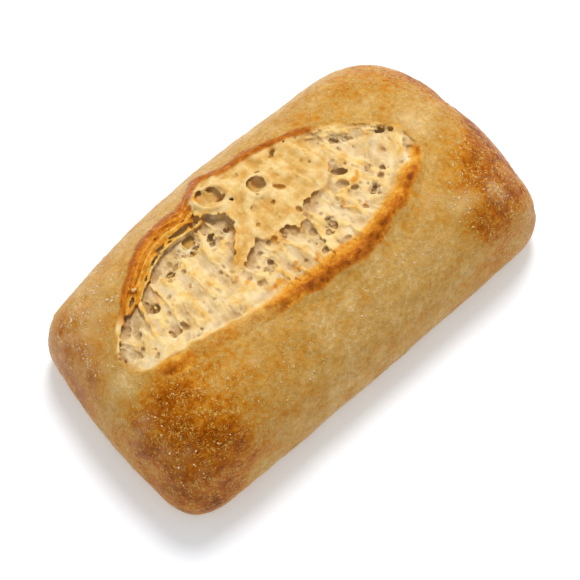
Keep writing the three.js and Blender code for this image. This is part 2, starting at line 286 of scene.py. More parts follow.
RIBBON_BLOTCHES = [(0.16, 3.0, 94)]
BAKE_RAGGEDNESS = [(0.24, 7, 44), (0.24, 3, 45)]
BAKE_MOTTLE = [(0.06, 12, 41), (0.06, 4.5, 42)]
FILM_GAPS = [(0.7, 2.6, 46)]


# Hand tools

def select_only(*objects):
    if bpy.context.object and bpy.context.object.mode != "OBJECT":
        bpy.ops.object.mode_set(mode="OBJECT")
    bpy.ops.object.select_all(action="DESELECT")
    for piece in objects:
        piece.select_set(True)
    bpy.context.view_layer.objects.active = objects[0]


def apply_modifier(piece, kind, **settings):
    select_only(piece)
    modifier = piece.modifiers.new(kind.lower(), kind)
    for name, value in settings.items():
        setattr(modifier, name, value)
    bpy.ops.object.modifier_apply(modifier=modifier.name)


@contextlib.contextmanager
def editing(select=None):
    """Edit mode, with everything selected or deselected first if asked, and object mode again."""
    bpy.ops.object.mode_set(mode="EDIT")
    if select:
        bpy.ops.mesh.select_all(action=select)
    yield
    bpy.ops.object.mode_set(mode="OBJECT")


def select_points(piece, chosen):
    """Selects the chosen points of the active piece, for the next edit."""
    with editing("DESELECT"):
        pass
    piece.data.vertices.foreach_set("select", chosen)


def join(*pieces):
    select_only(*pieces)
    bpy.ops.object.join()
    return bpy.context.object


def read_points(piece):
    flat = np.empty(len(piece.data.vertices) * 3)
    piece.data.vertices.foreach_get("co", flat)
    return flat.reshape(-1, 3)


def write_points(piece, points):
    piece.data.vertices.foreach_set("co", np.ascontiguousarray(points).ravel())
    piece.data.update()


def read_normals(piece):
    flat = np.empty(len(piece.data.vertices) * 3, dtype=np.float32)
    piece.data.vertex_normals.foreach_get("vector", flat)
    return flat.reshape(-1, 3).astype(float)


def paint(piece, name, values):
    """Stores a number, or a place of three numbers, for each vertex, for the materials to read."""
    values = np.asarray(values, dtype=np.float32)
    if values.ndim == 1:
        piece.data.attributes.new(name, "FLOAT", "POINT").data.foreach_set("value", values)
    else:
        piece.data.attributes.new(name, "FLOAT_VECTOR", "POINT").data.foreach_set("vector", values.ravel())


# Shapes of curves and noise

def smoothstep(value, low, high):
    t = np.clip((value - low) / (high - low), 0.0, 1.0)
    return t * t * (3.0 - 2.0 * t)


def falling(value, low, high):
    """1 up to low and 0 from high on."""
    return 1 - smoothstep(value, low, high)


def hump(away, width):
    """1 in the middle, about a third one width away and nearly 0 two widths away."""
    return np.exp(-(away / width) ** 2)


def mix(low, high, share):
    return low + (high - low) * share


def curve_through(stations):
    """A smooth curve through (place, value) stations that takes a number or an array."""
    places, values = np.array(stations, dtype=float).T
    slopes = np.gradient(values, places)

    def curve(place):
        place = np.clip(place, places[0], places[-1])
        index = np.clip(np.searchsorted(places, place) - 1, 0, len(places) - 2)
        span = places[index + 1] - places[index]
        t = (place - places[index]) / span
        rise = t * t * (3 - 2 * t)
        return (mix(values[index], values[index + 1], rise)
                + span * t * (1 - t) * ((1 - t) * slopes[index] - t * slopes[index + 1]))

    return curve


def noise(points, cell, seed=0):
    """Smooth noise from -1 to 1 over an array of points, with lumps about one cell across."""
    scaled = points / cell
    corner = np.floor(scaled).astype(np.int64)
    share = scaled - corner
    share = share * share * (3 - 2 * share)
    total = np.zeros(len(points))
    for step in itertools.product((0, 1), repeat=3):
        weight = np.prod(np.where(np.array(step) == 1, share, 1 - share), axis=1)
        total += weight * lattice_value(corner + np.array(step), seed)
    return total


def lattice_value(corner, seed):
    mixed = corner[:, 0] * 374761393 + corner[:, 1] * 668265263 + corner[:, 2] * 1274126177 + seed * 974634777
    mixed = (mixed ^ (mixed >> 13)) * 1103515245
    mixed = (mixed ^ (mixed >> 16)) & 0xFFFF
    return mixed / 32767.5 - 1.0


def flat_points(x, y):
    return np.column_stack([x, y, np.zeros_like(x)])


def plan_noise(x, y, size, seed):
    """Noise over places in plan."""
    return noise(flat_points(x, y), size, seed)


def lumps(points, layers):
    """A sum of noises, each given as its height, the size of its lumps and its seed."""
    return sum(height * noise(points, size, seed) for height, size, seed in layers)


def plan_lumps(x, y, layers):
    """The same over places in plan."""
    return lumps(flat_points(x, y), layers)


def cells(points, size, seed):
    """Foam cells: how far the nearest centre is, how much farther the next one, and a draw from 0 to 1."""
    scaled = points / size
    corner = np.floor(scaled).astype(np.int64)
    nearest = np.full(len(points), 9.0)
    second = np.full(len(points), 9.0)
    draw = np.zeros(len(points))
    for step in itertools.product((-1, 0, 1), repeat=3):
        cell = corner + np.array(step)
        centre = cell + 0.5 + 0.42 * np.column_stack([lattice_value(cell, seed + axis) for axis in range(3)])
        distance = np.linalg.norm(scaled - centre, axis=1)
        closer = distance < nearest
        second = np.where(closer, nearest, np.minimum(second, distance))
        draw = np.where(closer, lattice_value(cell, seed + 3), draw)
        nearest = np.minimum(nearest, distance)
    return nearest, second - nearest, draw * 0.5 + 0.5


# The roll's own shape, in millimetres

def outline_reach():
    """Distance from the middle to the widest outline in any direction, read from the solid."""
    points = read_points(ROLL) / MM
    widest = points[np.abs(points[:, 2] - WIDEST_LEVEL) < 0.02]
    angle = np.arctan2(widest[:, 1], widest[:, 0])
    order = np.argsort(angle)
    distance = np.hypot(widest[:, 0], widest[:, 1])
    return lambda a: np.interp(a, angle[order], distance[order], period=2 * np.pi)


reach = outline_reach()
ear_y = curve_through(EAR_LINE)
far_lip_y = curve_through(FAR_LIP)
near_depth, middle_depth, far_depth = [
    curve_through([(row[0], row[column]) for row in CRUMB_DEPTHS]) for column in (1, 2, 3)]
far_wall_width = curve_through(FAR_WALL_WIDTHS)
ear_inner_width = curve_through(EAR_INNER_WIDTHS)
ear_height = curve_through(EAR_HEIGHTS)
near_margin = curve_through(NEAR_MARGINS)


def crown(x, y):
    """Height of the unbroken crown."""
    share = np.clip(np.hypot(x, y) / reach(np.arctan2(y, x)), 0, 1)
    endwise = (x / HALF_LENGTH) ** 2
    sidewise = (y / HALF_WIDTH) ** 2
    endness = endwise / np.maximum(endwise + sidewise, 1e-9)
    dome = np.sqrt(np.maximum(0, 1 - share ** mix(SIDE_POWER, END_POWER, endness)))
    droop = 1 - SIDE_DROOP * share ** 2 * (1 - endness)
    return WIDEST_LEVEL + (CROWN_HEIGHT - WIDEST_LEVEL) * dome * droop


def inside_distance(x, y, outline):
    """Distance to a closed outline, positive inside."""
    nearest = np.full(len(x), 1e9)
    inside = np.zeros(len(x), dtype=bool)
    for (ax, ay), (bx, by) in zip(outline, outline[1:] + outline[:1]):
        run, rise = bx - ax, by - ay
        along = np.clip(((x - ax) * run + (y - ay) * rise) / (run ** 2 + rise ** 2), 0, 1)
        nearest = np.minimum(nearest, np.hypot(x - ax - along * run, y - ay - along * rise))
        if rise:
            crosses = (ay > y) != (by > y)
            inside ^= crosses & (x < run * (y - ay) / rise + ax)
    return np.where(inside, nearest, -nearest)


def inside_skin(x, y):
    """Distance inside the ragged edge of the stretched skin."""
    return inside_distance(x, y, SKIN_OUTLINE) + plan_lumps(x, y, SKIN_RAGGEDNESS)


def skin_share(x, y):
    """1 on the stretched skin, 0 on the open crumb."""
    return smoothstep(inside_skin(x, y), -0.3, 0.3)


def burst_place(x, y):
    """How far inside the ear's crest and the far lip a point lies."""
    return y - ear_y(x), far_lip_y(x) - y


LEFT_TIP = EAR_LINE[0][0]
RIGHT_TIP = EAR_LINE[-1][0]


def between_tips(x):
    """1 along the burst, fading to 0 at its tips."""
    return smoothstep(x, LEFT_TIP, LEFT_TIP + TIP_FADE) * falling(x, RIGHT_TIP - TIP_FADE, RIGHT_TIP)


def inside_seam(x, y):
    """Distance inside the outer edge of the finely modelled piece."""
    past_ear, before_lip = burst_place(x, y)
    sides = np.minimum(past_ear + near_margin(x), before_lip + FAR_MARGIN)
    tips = np.minimum(x - LEFT_TIP, RIGHT_TIP - x) - TIP_MARGIN
    return np.minimum(sides, tips)


def ellipse_radius(x, y, place, half_sizes, turn):
    """0 in the middle of a turned ellipse and 1 on its outline."""
    angle = math.radians(turn)
    along = (x - place[0]) * math.cos(angle) + (y - place[1]) * math.sin(angle)
    across = (y - place[1]) * math.cos(angle) - (x - place[0]) * math.sin(angle)
    return np.hypot(along / half_sizes[0], across / half_sizes[1])


def patch_amount(x, y, patches, inner, outer):
    """The largest amount among turned ellipses whose edges fade between two shares of their radius."""
    total = np.zeros(len(x))
    for px, py, long, wide, turn, amount in patches:
        radius = ellipse_radius(x, y, (px, py), (long, wide), turn)
        total = np.maximum(total, amount * falling(radius, inner, outer))
    return total


def web_depth(x, y):
    """Depth of the webbed hollows under the torn surface round them."""
    return patch_amount(x, y, WEBS, 0.5, 1.15)


def gold_share(x, y):
    """Where the torn surface is browned to gold in soft blotches."""
    ragged = plan_lumps(x, y, GOLD_RAGGEDNESS)
    return patch_amount(x + ragged, y + ragged, BLOTCHES, 0.0, 1.5)


def rim_height(x, y):
    """Height of the crown with the ear and the far lip raised on it."""
    past_ear, before_lip = burst_place(x, y)
    width = np.where(past_ear > 0, ear_inner_width(x) * EAR_CREST_SHARE, EAR_OUTER_WIDTH)
    uneven = 1 + plan_lumps(x, y, EAR_UNEVENNESS)
    ear = ear_height(x) * np.exp(-np.abs(past_ear / width) ** EAR_POWER) * uneven
    lip = LIP_RISE * hump(before_lip, LIP_WIDTH)
    return crown(x, y) + (ear + lip) * between_tips(x)


def crumb_height(x, y):
    """Height of the torn surface, without the flap of skin, before its bubbles are opened."""
    past_ear, before_lip = burst_place(x, y)
    place = past_ear / np.maximum(past_ear + before_lip, 1)
    depth = mix(near_depth(x), middle_depth(x), smoothstep(place, *NEAR_TO_MIDDLE))
    depth = mix(depth, far_depth(x), smoothstep(place, *MIDDLE_TO_FAR))
    under_skin = inside_skin(x, y)
    hollow = FLAP_HOLLOW * hump(under_skin + 0.6, 1.6) * loose_edge(x, y)
    depth = mix(depth + hollow, SKIN_DEPTH + 0.3, smoothstep(under_skin, 0.4, FLAP_REACH + 1.2))
    near_skin = smoothstep(under_skin, -6.0, 0.0) * (1 - loose_edge(x, y))
    risen = 0.7 * smoothstep(under_skin, -3.0, -0.3) * smoothstep(x, -12, -4)
    depth = mix(depth, SKIN_DEPTH + 0.6, np.maximum(near_skin, risen))
    walls = smoothstep(past_ear, 0.0, ear_inner_width(x)) * smoothstep(before_lip, 0.0, far_wall_width(x))
    depth = depth - plan_lumps(x, y, CRUMB_SWELL) - fold_rise(x, y) + WEB_SAG * web_depth(x, y)
    seam = SEAM_DEPTH * np.clip(1 - inside_seam(x, y) / SEAM_WIDTH, 0, 1.5) ** 2
    return rim_height(x, y) - between_tips(x) * walls * depth - seam + OVER_CRUST


def fold_rise(x, y):
    """Folds of dough that run across the burst, along its pull."""
    across, along = pull(x, y)
    swayed = across + plan_lumps(x, y, FOLD_SWAY)
    fold = 1 - np.abs(plan_noise(swayed / FOLD_WIDTH, along / FOLD_LENGTH, 1.0, 28))
    return FOLD_HEIGHT * (fold ** 2 - 0.45)


def loose_edge(x, y):
    """1 where the skin's edge hangs free, 0 at its upper right and its tail, where it joins the crumb."""
    tail = SKIN_OUTLINE[SKIN_TAIL]
    return falling(x + 0.8 * y, 26, 34) * smoothstep(np.hypot(x - tail[0], y - tail[1]), 2.5, 8.0)


def skin_height(x, y):
    """Height of the upper face of the stretched skin, which curls up a little at its free edge."""
    before_lip = burst_place(x, y)[1]
    inside = inside_skin(x, y)
    loose = loose_edge(x, y)
    walls = smoothstep(before_lip, 0.0, far_wall_width(x)) * between_tips(x)
    curl = SKIN_CURL * hump(inside, 1.2) * loose
    bound = 1.2 * (1 - loose) * falling(inside, 0.0, 4.0)
    surface = rim_height(x, y) - walls * (SKIN_DEPTH - plan_lumps(x, y, SKIN_SWELL) - curl + bound)
    uneven = 1 + plan_lumps(x, y, RIDGE_UNEVENNESS)
    for px, py, long, wide, turn, height, width in RIMS:
        away = (ellipse_radius(x, y, (px, py), (long, wide), turn) - 1) * (long + wide) / 2
        surface = surface + height * hump(away, width) * uneven
    return surface + ridge_height(x, y) * uneven


def ridge_height(x, y):
    """Height of the ridges drawn out in the skin."""
    total = np.zeros(len(x))
    for height, width, route in SKIN_RIDGES:
        away = nearest_route(flat_points(x, y), [route])[0]
        total = np.maximum(total, height * hump(away, width))
    return total


def pull(x, y):
    """Coordinates across and along the way the dough was pulled, in millimetres."""
    angle = np.radians(lean(x))
    return x * np.cos(angle) + y * np.sin(angle), -x * np.sin(angle) + y * np.cos(angle)


def crust_relief(points):
    """Lumps and blisters of the baked crust, over points in millimetres."""
    nearest, _, draw = cells(points, BLISTER_SPACING, 34)
    blisters = BLISTER_HEIGHT * smoothstep(draw, 0.55, 0.8) * falling(nearest, 0.1, 0.42)
    return (lumps(points, CRUST_LUMPS) + blisters) * smoothstep(points[:, 2], 0.0, 3.0)


# Pieces from many copies

def copies_of(template, placements, name):
    """One mesh of many copies of a template. Each placement is a 4 x 4 matrix."""
    points = read_points(template)
    faces = [list(face.vertices) for face in template.data.polygons]
    all_points = []
    all_faces = []
    for matrix in placements:
        start = len(all_points) * len(points)
        turned = points @ np.array(matrix.to_3x3()).T + np.array(matrix.translation)
        all_points.append(turned)
        all_faces.extend([[start + index for index in face] for face in faces])
    mesh = bpy.data.meshes.new(name)
    mesh.from_pydata(np.concatenate(all_points).tolist(), [], all_faces)
    piece = bpy.data.objects.new(name, mesh)
    bpy.context.collection.objects.link(piece)
    return piece


def ball(subdivisions):
    bpy.ops.object.select_all(action="DESELECT")
    bpy.ops.mesh.primitive_ico_sphere_add(subdivisions=subdivisions, radius=1.0)
    return bpy.context.object


def remove(piece):
    bpy.data.objects.remove(piece)


def bubble_placement(x, y, across, along, depth, turn, surface):
    """A ball that opens the surface by the given half sizes and reaches down to the depth."""
    sunk = 0.3 if across < LARGE_BUBBLE else 0.55
    half_height = depth / (1 + sunk)
    widen = 1 / math.sqrt(1 - sunk * sunk)
    place = Matrix.Translation(Vector((x, y, surface - sunk * half_height)) * MM)
    size = Matrix.Diagonal((across * widen * MM, along * widen * MM, half_height * MM, 1))
    return place @ Matrix.Rotation(math.radians(turn), 4, "Z") @ size


def named_bubbles():
    """The bubbles that have a place of their own. Those in the crumb are never deeper than they are wide."""
    placements = []
    for x, y, across, along, depth, turn in SKIN_BUBBLES + CRUMB_BUBBLES:
        if not skin_share(np.array([x]), np.array([y]))[0]:
            depth = min(depth, 1.6 * min(across, along) + 0.2)
        placements.append(bubble_placement(x, y, across, along, depth, turn, height_at(x, y)))
    return placements


def surface_at(x, y):
    """Height of what shows from above: the flap of skin or the open crumb."""
    return np.where(inside_skin(x, y) > 0, skin_height(x, y), crumb_height(x, y))


def height_at(x, y):
    """The same for a single place."""
    return float(surface_at(np.array([x], dtype=float), np.array([y], dtype=float))[0])


def scattered_bubbles(draw):
    """Small bubbles all over the torn surface: drawn-out ones in the crumb, pin pricks in the skin."""
    x = draw.uniform(-60, 47, SCATTERED_BUBBLES)
    y = draw.uniform(-19, 32, SCATTERED_BUBBLES)
    past_ear, before_lip = burst_place(x, y)
    skin = skin_share(x, y)
    surface = surface_at(x, y)
    placements = []
    for index in range(SCATTERED_BUBBLES):
        if past_ear[index] < ear_inner_width(x[index]) * 0.8 or before_lip[index] < 0.8:
            continue
        turn = draw.normal(0, 18) + lean(x[index])
        if skin[index] > 0.5:
            if draw.random() > SKIN_BUBBLE_SHARE:
                continue
            size = 0.25 + 0.35 * draw.random() ** 3
            shape = (size, size * draw.uniform(0.8, 1.5), size * 1.6)
        else:
            size = 0.22 + 0.5 * draw.random() ** 4
            shape = (size, size * draw.uniform(1.0, 2.0), size * draw.uniform(0.8, 1.6))
        placements.append(bubble_placement(x[index], y[index], *shape, turn, surface[index]))
    return placements


def lean(x):
    """The turn of the dough's pull in degrees, which fans out towards both ends of the burst."""
    return np.interp(x, *zip(*LEANS))


def upright_grid(name, low, high, cell, height):
    """A grid in plan over the given corners, lifted to a height that is a function of x and y."""
    (left, front), (right, back) = low, high
    bpy.ops.object.select_all(action="DESELECT")
    bpy.ops.mesh.primitive_grid_add(
        x_subdivisions=round((right - left) / cell), y_subdivisions=round((back - front) / cell),
        size=1, location=((left + right) / 2 * MM, (front + back) / 2 * MM, 0))
    grid = bpy.context.object
    grid.name = name
    grid.scale = ((right - left) * MM, (back - front) * MM, 1)
    bpy.ops.object.transform_apply(location=True, rotation=True, scale=True)
    points = read_points(grid)
    points[:, 2] = height(points[:, 0] / MM, points[:, 1] / MM) * MM
    write_points(grid, points)
    return grid


def extrude_down(piece, drop):
    """Closes an open sheet into a solid by an extrusion straight down. Returns which points are new."""
    with editing("SELECT"):
        bpy.ops.mesh.extrude_region_move(TRANSFORM_OT_translate={"value": (0, 0, -drop * MM)})
    new = np.zeros(len(piece.data.vertices), dtype=bool)
    piece.data.vertices.foreach_get("select", new)
    with editing("SELECT"):
        bpy.ops.mesh.normals_make_consistent(inside=False)
    return new


def crumb_block():
    """The torn surface as a grid, drawn down into a closed block inside the crust."""
    block = upright_grid("crumb", (-63, -25), (50, 34), 0.4, crumb_height)
    bottom = extrude_down(block, 10)
    points = read_points(block)
    points[bottom, 2] = BLOCK_BOTTOM * MM
    write_points(block, points)
    cutter = seam_cutter()
    apply_modifier(block, "BOOLEAN", object=cutter, operation="INTERSECT", solver="MANIFOLD")
    remove(cutter)
    return block


def seam_cutter():
    """An upright block with the plan of the finely modelled piece."""
    lengthwise = np.linspace(LEFT_TIP + TIP_MARGIN, RIGHT_TIP - TIP_MARGIN, 90)
    near_side = [(x, float(ear_y(x) - near_margin(x))) for x in lengthwise]
    far_side = [(x, float(far_lip_y(x)) + FAR_MARGIN) for x in lengthwise[::-1]]
    outline = near_side + far_side
    bpy.ops.object.select_all(action="DESELECT")
    bpy.ops.mesh.primitive_circle_add(vertices=len(outline), radius=1, fill_type="NGON")
    cutter = bpy.context.object
    write_points(cutter, np.array([(x * MM, y * MM, CUTTER_TOP * MM) for x, y in outline]))
    extrude_down(cutter, CUTTER_HEIGHT)
    return cutter


def skin_flap():
    """The stretched skin as a thin sheet with a free, ragged edge over the crumb."""
    flap = upright_grid("flap", (-22, -4), (32, 32), 0.3, skin_height)
    x, y, _ = read_points(flap).T / MM
    select_points(flap, (inside_skin(x, y) < 0) | (burst_place(x, y)[1] < 0.2))
    with editing():
        bpy.ops.mesh.delete(type="VERT")
    extrude_down(flap, FLAP_THICKNESS)
    return flap


def tube(name, radius, route):
    """A closed tube along a smooth route in millimetres."""
    curve = bpy.data.curves.new(name, "CURVE")
    curve.dimensions = "3D"
    curve.bevel_depth = radius * MM
    curve.bevel_resolution = 2
    curve.resolution_u = 8
    curve.use_fill_caps = True
    spline = curve.splines.new("BEZIER")
    spline.bezier_points.add(len(route) - 1)
    for point, place in zip(spline.bezier_points, route):
        point.co = Vector(place) * MM
        point.handle_left_type = "AUTO"
        point.handle_right_type = "AUTO"
    spline.bezier_points[0].radius = 1.6
    spline.bezier_points[-1].radius = 1.4
    piece = bpy.data.objects.new(name, curve)
    bpy.context.collection.objects.link(piece)
    select_only(piece)
    bpy.ops.object.convert(target="MESH")
    return bpy.context.object


def lip_ribbons(draw):
    """Routes of the ribbons that the far lip tore into: radius, then (x, y, height) points."""
    ribbons = []
    for index in range(RIBBONS):
        left = RIBBON_LEFT + 2.4 * index + draw.uniform(-1, 1)
        right = RIBBON_RIGHT - 0.6 * index + draw.uniform(-5, 2)
        route = []
        for x in np.linspace(left, right, 12):
            width = float(far_wall_width(x))
            inward = width * (0.1 + 0.95 * index / (RIBBONS - 1)) + draw.normal(0, 0.28)
            y = float(far_lip_y(x)) - inward
            down = min(width / 5, 1) * (RIBBON_STEP_DOWN * index + draw.normal(0, 0.3))
            route.append((x, y, crown_at(x, y) - down))
        ribbons.append((draw.uniform(0.26, 0.42), route))
    return ribbons


def crown_at(x, y):
    return float(crown(np.array([x], dtype=float), np.array([y], dtype=float))[0])


def lip_strands(draw):
    """Routes of the fine strands along the right half of the far lip."""
    strands = []
    for index in range(LIP_STRANDS):
        left = draw.uniform(24, 30)
        right = draw.uniform(37, 45)
        inward = 0.9 + 0.62 * index
        route = []
        for x in np.linspace(left, right, 6):
            narrowing = 1 - 0.75 * smoothstep(x, 34, 46)
            y = float(far_lip_y(x)) - inward * narrowing + draw.normal(0, 0.12)
            route.append((x, y, height_at(x, y) + draw.uniform(0.0, 0.5)))
        strands.append((draw.uniform(0.22, 0.36), route))
    return strands


def hollow_strands():
    """Routes of the strands stretched over the hollows."""
    return [(radius, [(x, y, height_at(x, y) + lift) for x, y, lift in route]) for radius, route in STRANDS]


def make_strands():
    draw = np.random.default_rng(STRAND_SEED)
    routes = lip_ribbons(draw) + lip_strands(draw) + hollow_strands() + web_strands(draw)
    return join(*[tube("strand", radius, route) for radius, route in routes])


def web_strands(draw):
    """Routes of the strands that cross the webbed hollows from rim to rim."""
    strands = []
    for px, py, long, wide, turn, deep in WEBS:
        angle = math.radians(turn)
        for _ in range(round(WEB_STRANDS * math.pi * long * wide)):
            start = draw.uniform(0, 2 * math.pi)
            end = -start + draw.normal(0, 0.6)
            sag = 0.4 * deep * draw.uniform(0.0, 1.8)
            bow = draw.normal(0, 0.4)
            route = []
            for share in np.linspace(0, 1, 5):
                middle = math.sin(math.pi * share)
                along = long * 1.1 * mix(math.cos(start), math.cos(end), share) + bow * middle
                across = wide * 1.1 * mix(math.sin(start), math.sin(end), share)
                x = px + along * math.cos(angle) - across * math.sin(angle)
                y = py + along * math.sin(angle) + across * math.cos(angle)
                lift = WEB_SAG * float(web_depth(np.array([x]), np.array([y]))[0]) - sag * middle - 0.1
                route.append((x, y, height_at(x, y) + lift))
            strands.append((draw.uniform(0.2, 0.36), route))
    return strands


def make_crumb():
    draw = np.random.default_rng(7)
    body = join(crumb_block(), skin_flap())
    apply_modifier(body, "REMESH", mode="VOXEL", voxel_size=ROUGH_VOXEL)
    template = ball(2)
    bubbles = copies_of(template, named_bubbles() + scattered_bubbles(draw), "bubbles")
    remove(template)
    apply_modifier(bubbles, "REMESH", mode="VOXEL", voxel_size=BUBBLE_VOXEL)
    apply_modifier(body, "BOOLEAN", object=bubbles, operation="DIFFERENCE", solver="MANIFOLD")
    remove(bubbles)
    crumb = join(body, make_strands())
    crumb.name = "crumb"
    apply_modifier(crumb, "REMESH", mode="VOXEL", voxel_size=VOXEL)
    apply_modifier(crumb, "SMOOTH", factor=0.5, iterations=1)
    trim_hidden(crumb)
    ripple_crumb(crumb)
    thin_hidden(crumb)
    thin(crumb, CRUMB_TRIANGLES)
    paint_burst(crumb)
    return crumb


def trim_hidden(crumb):
    """Takes off the deep part of the block, which the crust hides, and closes it again."""
    with editing("SELECT"):
        bpy.ops.mesh.bisect(plane_co=(0, 0, TRIM_LEVEL * MM), plane_no=(0, 0, 1), use_fill=True,
                            clear_inner=True)


def thin_hidden(crumb):
    """Thins the mesh of the block's sides, which the crust hides."""
    x, y, z = read_points(crumb).T / MM
    select_points(crumb, (inside_seam(x, y) < 0.4) & (z < crumb_height(x, y) - 0.9))
    with editing():
        bpy.ops.mesh.decimate(ratio=HIDDEN_SHARE_KEPT)


def thin(piece, triangles):
    """Thins a mesh to a number of triangles, where it is flattest first."""
    present = sum(len(face.vertices) - 2 for face in piece.data.polygons)
    apply_modifier(piece, "DECIMATE", ratio=min(1, triangles / present))


def web_relief(stretched, depth):
    """Thin walls that stand between small cells sunk to the given depth."""
    _, wall, draw = cells(stretched, 1.55, 51)
    relief = -depth * (1 - 0.85 * hump(wall, 0.2)) * (0.5 + 0.5 * draw)
    _, wall, _ = cells(stretched, 0.8, 61)
    return relief + 0.14 * np.minimum(depth, 1) * (hump(wall, 0.2) - 0.4)


def membrane_relief(stretched):
    """Soft dents and low creases of the stretched membranes between the hollows."""
    nearest, _, draw = cells(stretched, 3.6, 52)
    relief = -0.8 * smoothstep(draw, 0.3, 0.8) * falling(nearest, 0.0, 0.6)
    nearest, _, draw = cells(stretched, 1.25, 62)
    return relief - 0.28 * smoothstep(draw, 0.62, 0.9) * falling(nearest, 0.05, 0.5)


def fibre_relief(across, along, z):
    """Sharp ridges drawn out along the pull of the dough."""
    swayed = across + lumps(np.column_stack([across, along, z]), FIBRE_SWAY)
    fibres = 1 - np.abs(noise(np.column_stack([swayed / 1.9, along / 8.0, z / 3]), 1.0, 21))
    finer = 1 - np.abs(noise(np.column_stack([swayed / 0.9, along / 5.0, z / 2]), 1.0, 22))
    return 0.42 * (fibres ** 4 - 0.3) + 0.16 * (finer ** 3 - 0.4)


def skin_relief(points):
    """Soft lumps and pin pricks of the stretched skin."""
    nearest, _, draw = cells(points, 2.1, 71)
    pits = smoothstep(draw, 0.68, 0.85) * falling(nearest, 0.05, 0.26)
    return lumps(points, SKIN_LUMPS) - 0.3 * pits


def ear_share(x, y):
    """1 on the ear's crest and slopes, fading to 0 on the crumb and on the crust."""
    past_ear = burst_place(x, y)[0]
    inner = ear_inner_width(x) * EAR_CREST_SHARE
    across = np.where(past_ear > 0, past_ear / inner, -past_ear / (EAR_OUTER_WIDTH * 1.1))
    return np.exp(-across ** 2) * smoothstep(x, -40, -20) * falling(x, 44, 47)


def outer_relief(points):
    """Relief of the crust and of the ear's baked crest, the same on both pieces that meet there."""
    x, y, z = points.T
    nearest, _, draw = cells(points, 1.5, 81)
    blisters = (0.35 + 0.65 * draw) * falling(nearest, 0.1, 0.65)
    crest = 0.16 * blisters - 0.05 + lumps(points, CREST_LUMPS)
    return crust_relief(points) + ear_share(x, y) * crest * smoothstep(z, *TOP_LEVELS)


def ripple_crumb(crumb):
    """Webs, membranes, fibres, blisters and lumps, each in its own place."""
    points = read_points(crumb)
    scaled = points / MM
    x, y, z = scaled.T
    past_ear, before_lip = burst_place(x, y)
    across, along = pull(x, y)
    open_crumb = smoothstep(past_ear, 0.6, 2.4) * smoothstep(before_lip, -0.2, 0.8)
    open_crumb *= smoothstep(x, LEFT_TIP + 0.5, LEFT_TIP + 3.5) * falling(x, RIGHT_TIP - 6, RIGHT_TIP - 1.5)
    webbed = web_depth(x, y)
    fibrous = smoothstep(plan_noise(x, y, 8.0, 24), -0.3, 0.4) * (1 - 0.6 * np.clip(webbed, 0, 1))
    sway = lumps(scaled, CELL_SWAY)
    stretched = np.column_stack([across + sway, along / 1.5 + sway, z / 1.5])
    torn = membrane_relief(stretched) + web_relief(stretched, 0.65 * webbed)
    torn += fibre_relief(across, along, z) * (0.25 + 0.75 * fibrous)
    relief = mix(torn, skin_relief(scaled), skin_share(x, y))
    relief = mix(outer_relief(scaled), relief, open_crumb)
    write_points(crumb, points + read_normals(crumb) * (relief * MM)[:, None])


def surroundings(points, cell, passes):
    """Mean height of the upper surface round each point, from a raster blurred the given number of times."""
    low = points[:, :2].min(axis=0) - cell
    size = np.ceil((points[:, :2].max(axis=0) - low) / cell).astype(int) + 2
    column, row = ((points[:, :2] - low) / cell).astype(int).T
    top = np.full(size, -1e9)
    np.maximum.at(top, (column, row), points[:, 2])
    known = (top > -1e8).astype(float)
    total = np.where(known > 0, top, 0.0)
    for _ in range(passes):
        for axis in (0, 1):
            total = (np.roll(total, 1, axis) + total + np.roll(total, -1, axis)) / 3
            known = (np.roll(known, 1, axis) + known + np.roll(known, -1, axis)) / 3
    return (total / np.maximum(known, 1e-6))[column, row]


def nearest_route(points, routes):
    """Distance to the nearest of several polylines of (x, y, height) points, and the index of that line."""
    nearest = np.full(len(points), 1e9)
    index = np.zeros(len(points), dtype=int)
    for number, route in enumerate(np.array(routes)):
        for start, step in zip(route, np.diff(route, axis=0)):
            along = np.clip((points - start) @ step / np.dot(step, step), 0, 1)
            distance = np.linalg.norm(points - start - along[:, None] * step, axis=1)
            index = np.where(distance < nearest, number, index)
            nearest = np.minimum(nearest, distance)
    return nearest, index


# Toast across the ear: distance past its crest towards the crumb, and how dark it is there
TOAST_ACROSS_EAR = [
    (-3.2, 0.46), (-1.6, 0.60), (-0.7, 0.75), (0.5, 0.74), (1.6, 0.59), (3.0, 0.45), (4.4, 0.34),
    (6.4, 0.22),
]
LIP_TOAST = 0.76
GOLD_TOAST = 0.46
SKIN_EDGE_TOAST = 0.34


def toast_level(points):
    """How darkly each point near the burst is toasted, and how much of the toast covers it, both 0 to 1."""
    x, y, _ = points.T
    past_ear, before_lip = burst_place(x, y)
    wander = plan_lumps(x, y, TOAST_WANDER)
    strength = smoothstep(x, -58, -49) * falling(x, 43, 47.5)
    strength *= 1 - 0.6 * hump(x - PALE_PART_OF_EAR[0], PALE_PART_OF_EAR[1])
    right_half = smoothstep(x, -24, -8)
    place = past_ear + wander + mix(2.4, 0.0, right_half)
    wide = np.clip(ear_inner_width(x) / 4.4, 0.6, 1.2)
    level = np.interp(place / wide, *zip(*TOAST_ACROSS_EAR))
    level += plan_lumps(x, y, TOAST_BLOTCHES) * hump(place + 0.2, 1.9)
    level *= mix(0.9, 1.0, right_half) * (1 - 0.2 * smoothstep(x, 36, 44))
    patchy = mix(0.76 + plan_lumps(x, y, TOAST_GAPS), 1.0, right_half)
    cover = smoothstep(place, -2.8, -1.2) * falling(place / wide, 2.6, 6.4) * strength * patchy
    line = hump(before_lip + 0.8 * wander - 0.2, 1.6) * smoothstep(x, -55, -42) * falling(x, 22, 32)
    lip = line * (1.25 + plan_lumps(x, y, LIP_GAPS))
    return layered_toast([(level, cover), (LIP_TOAST, lip)])


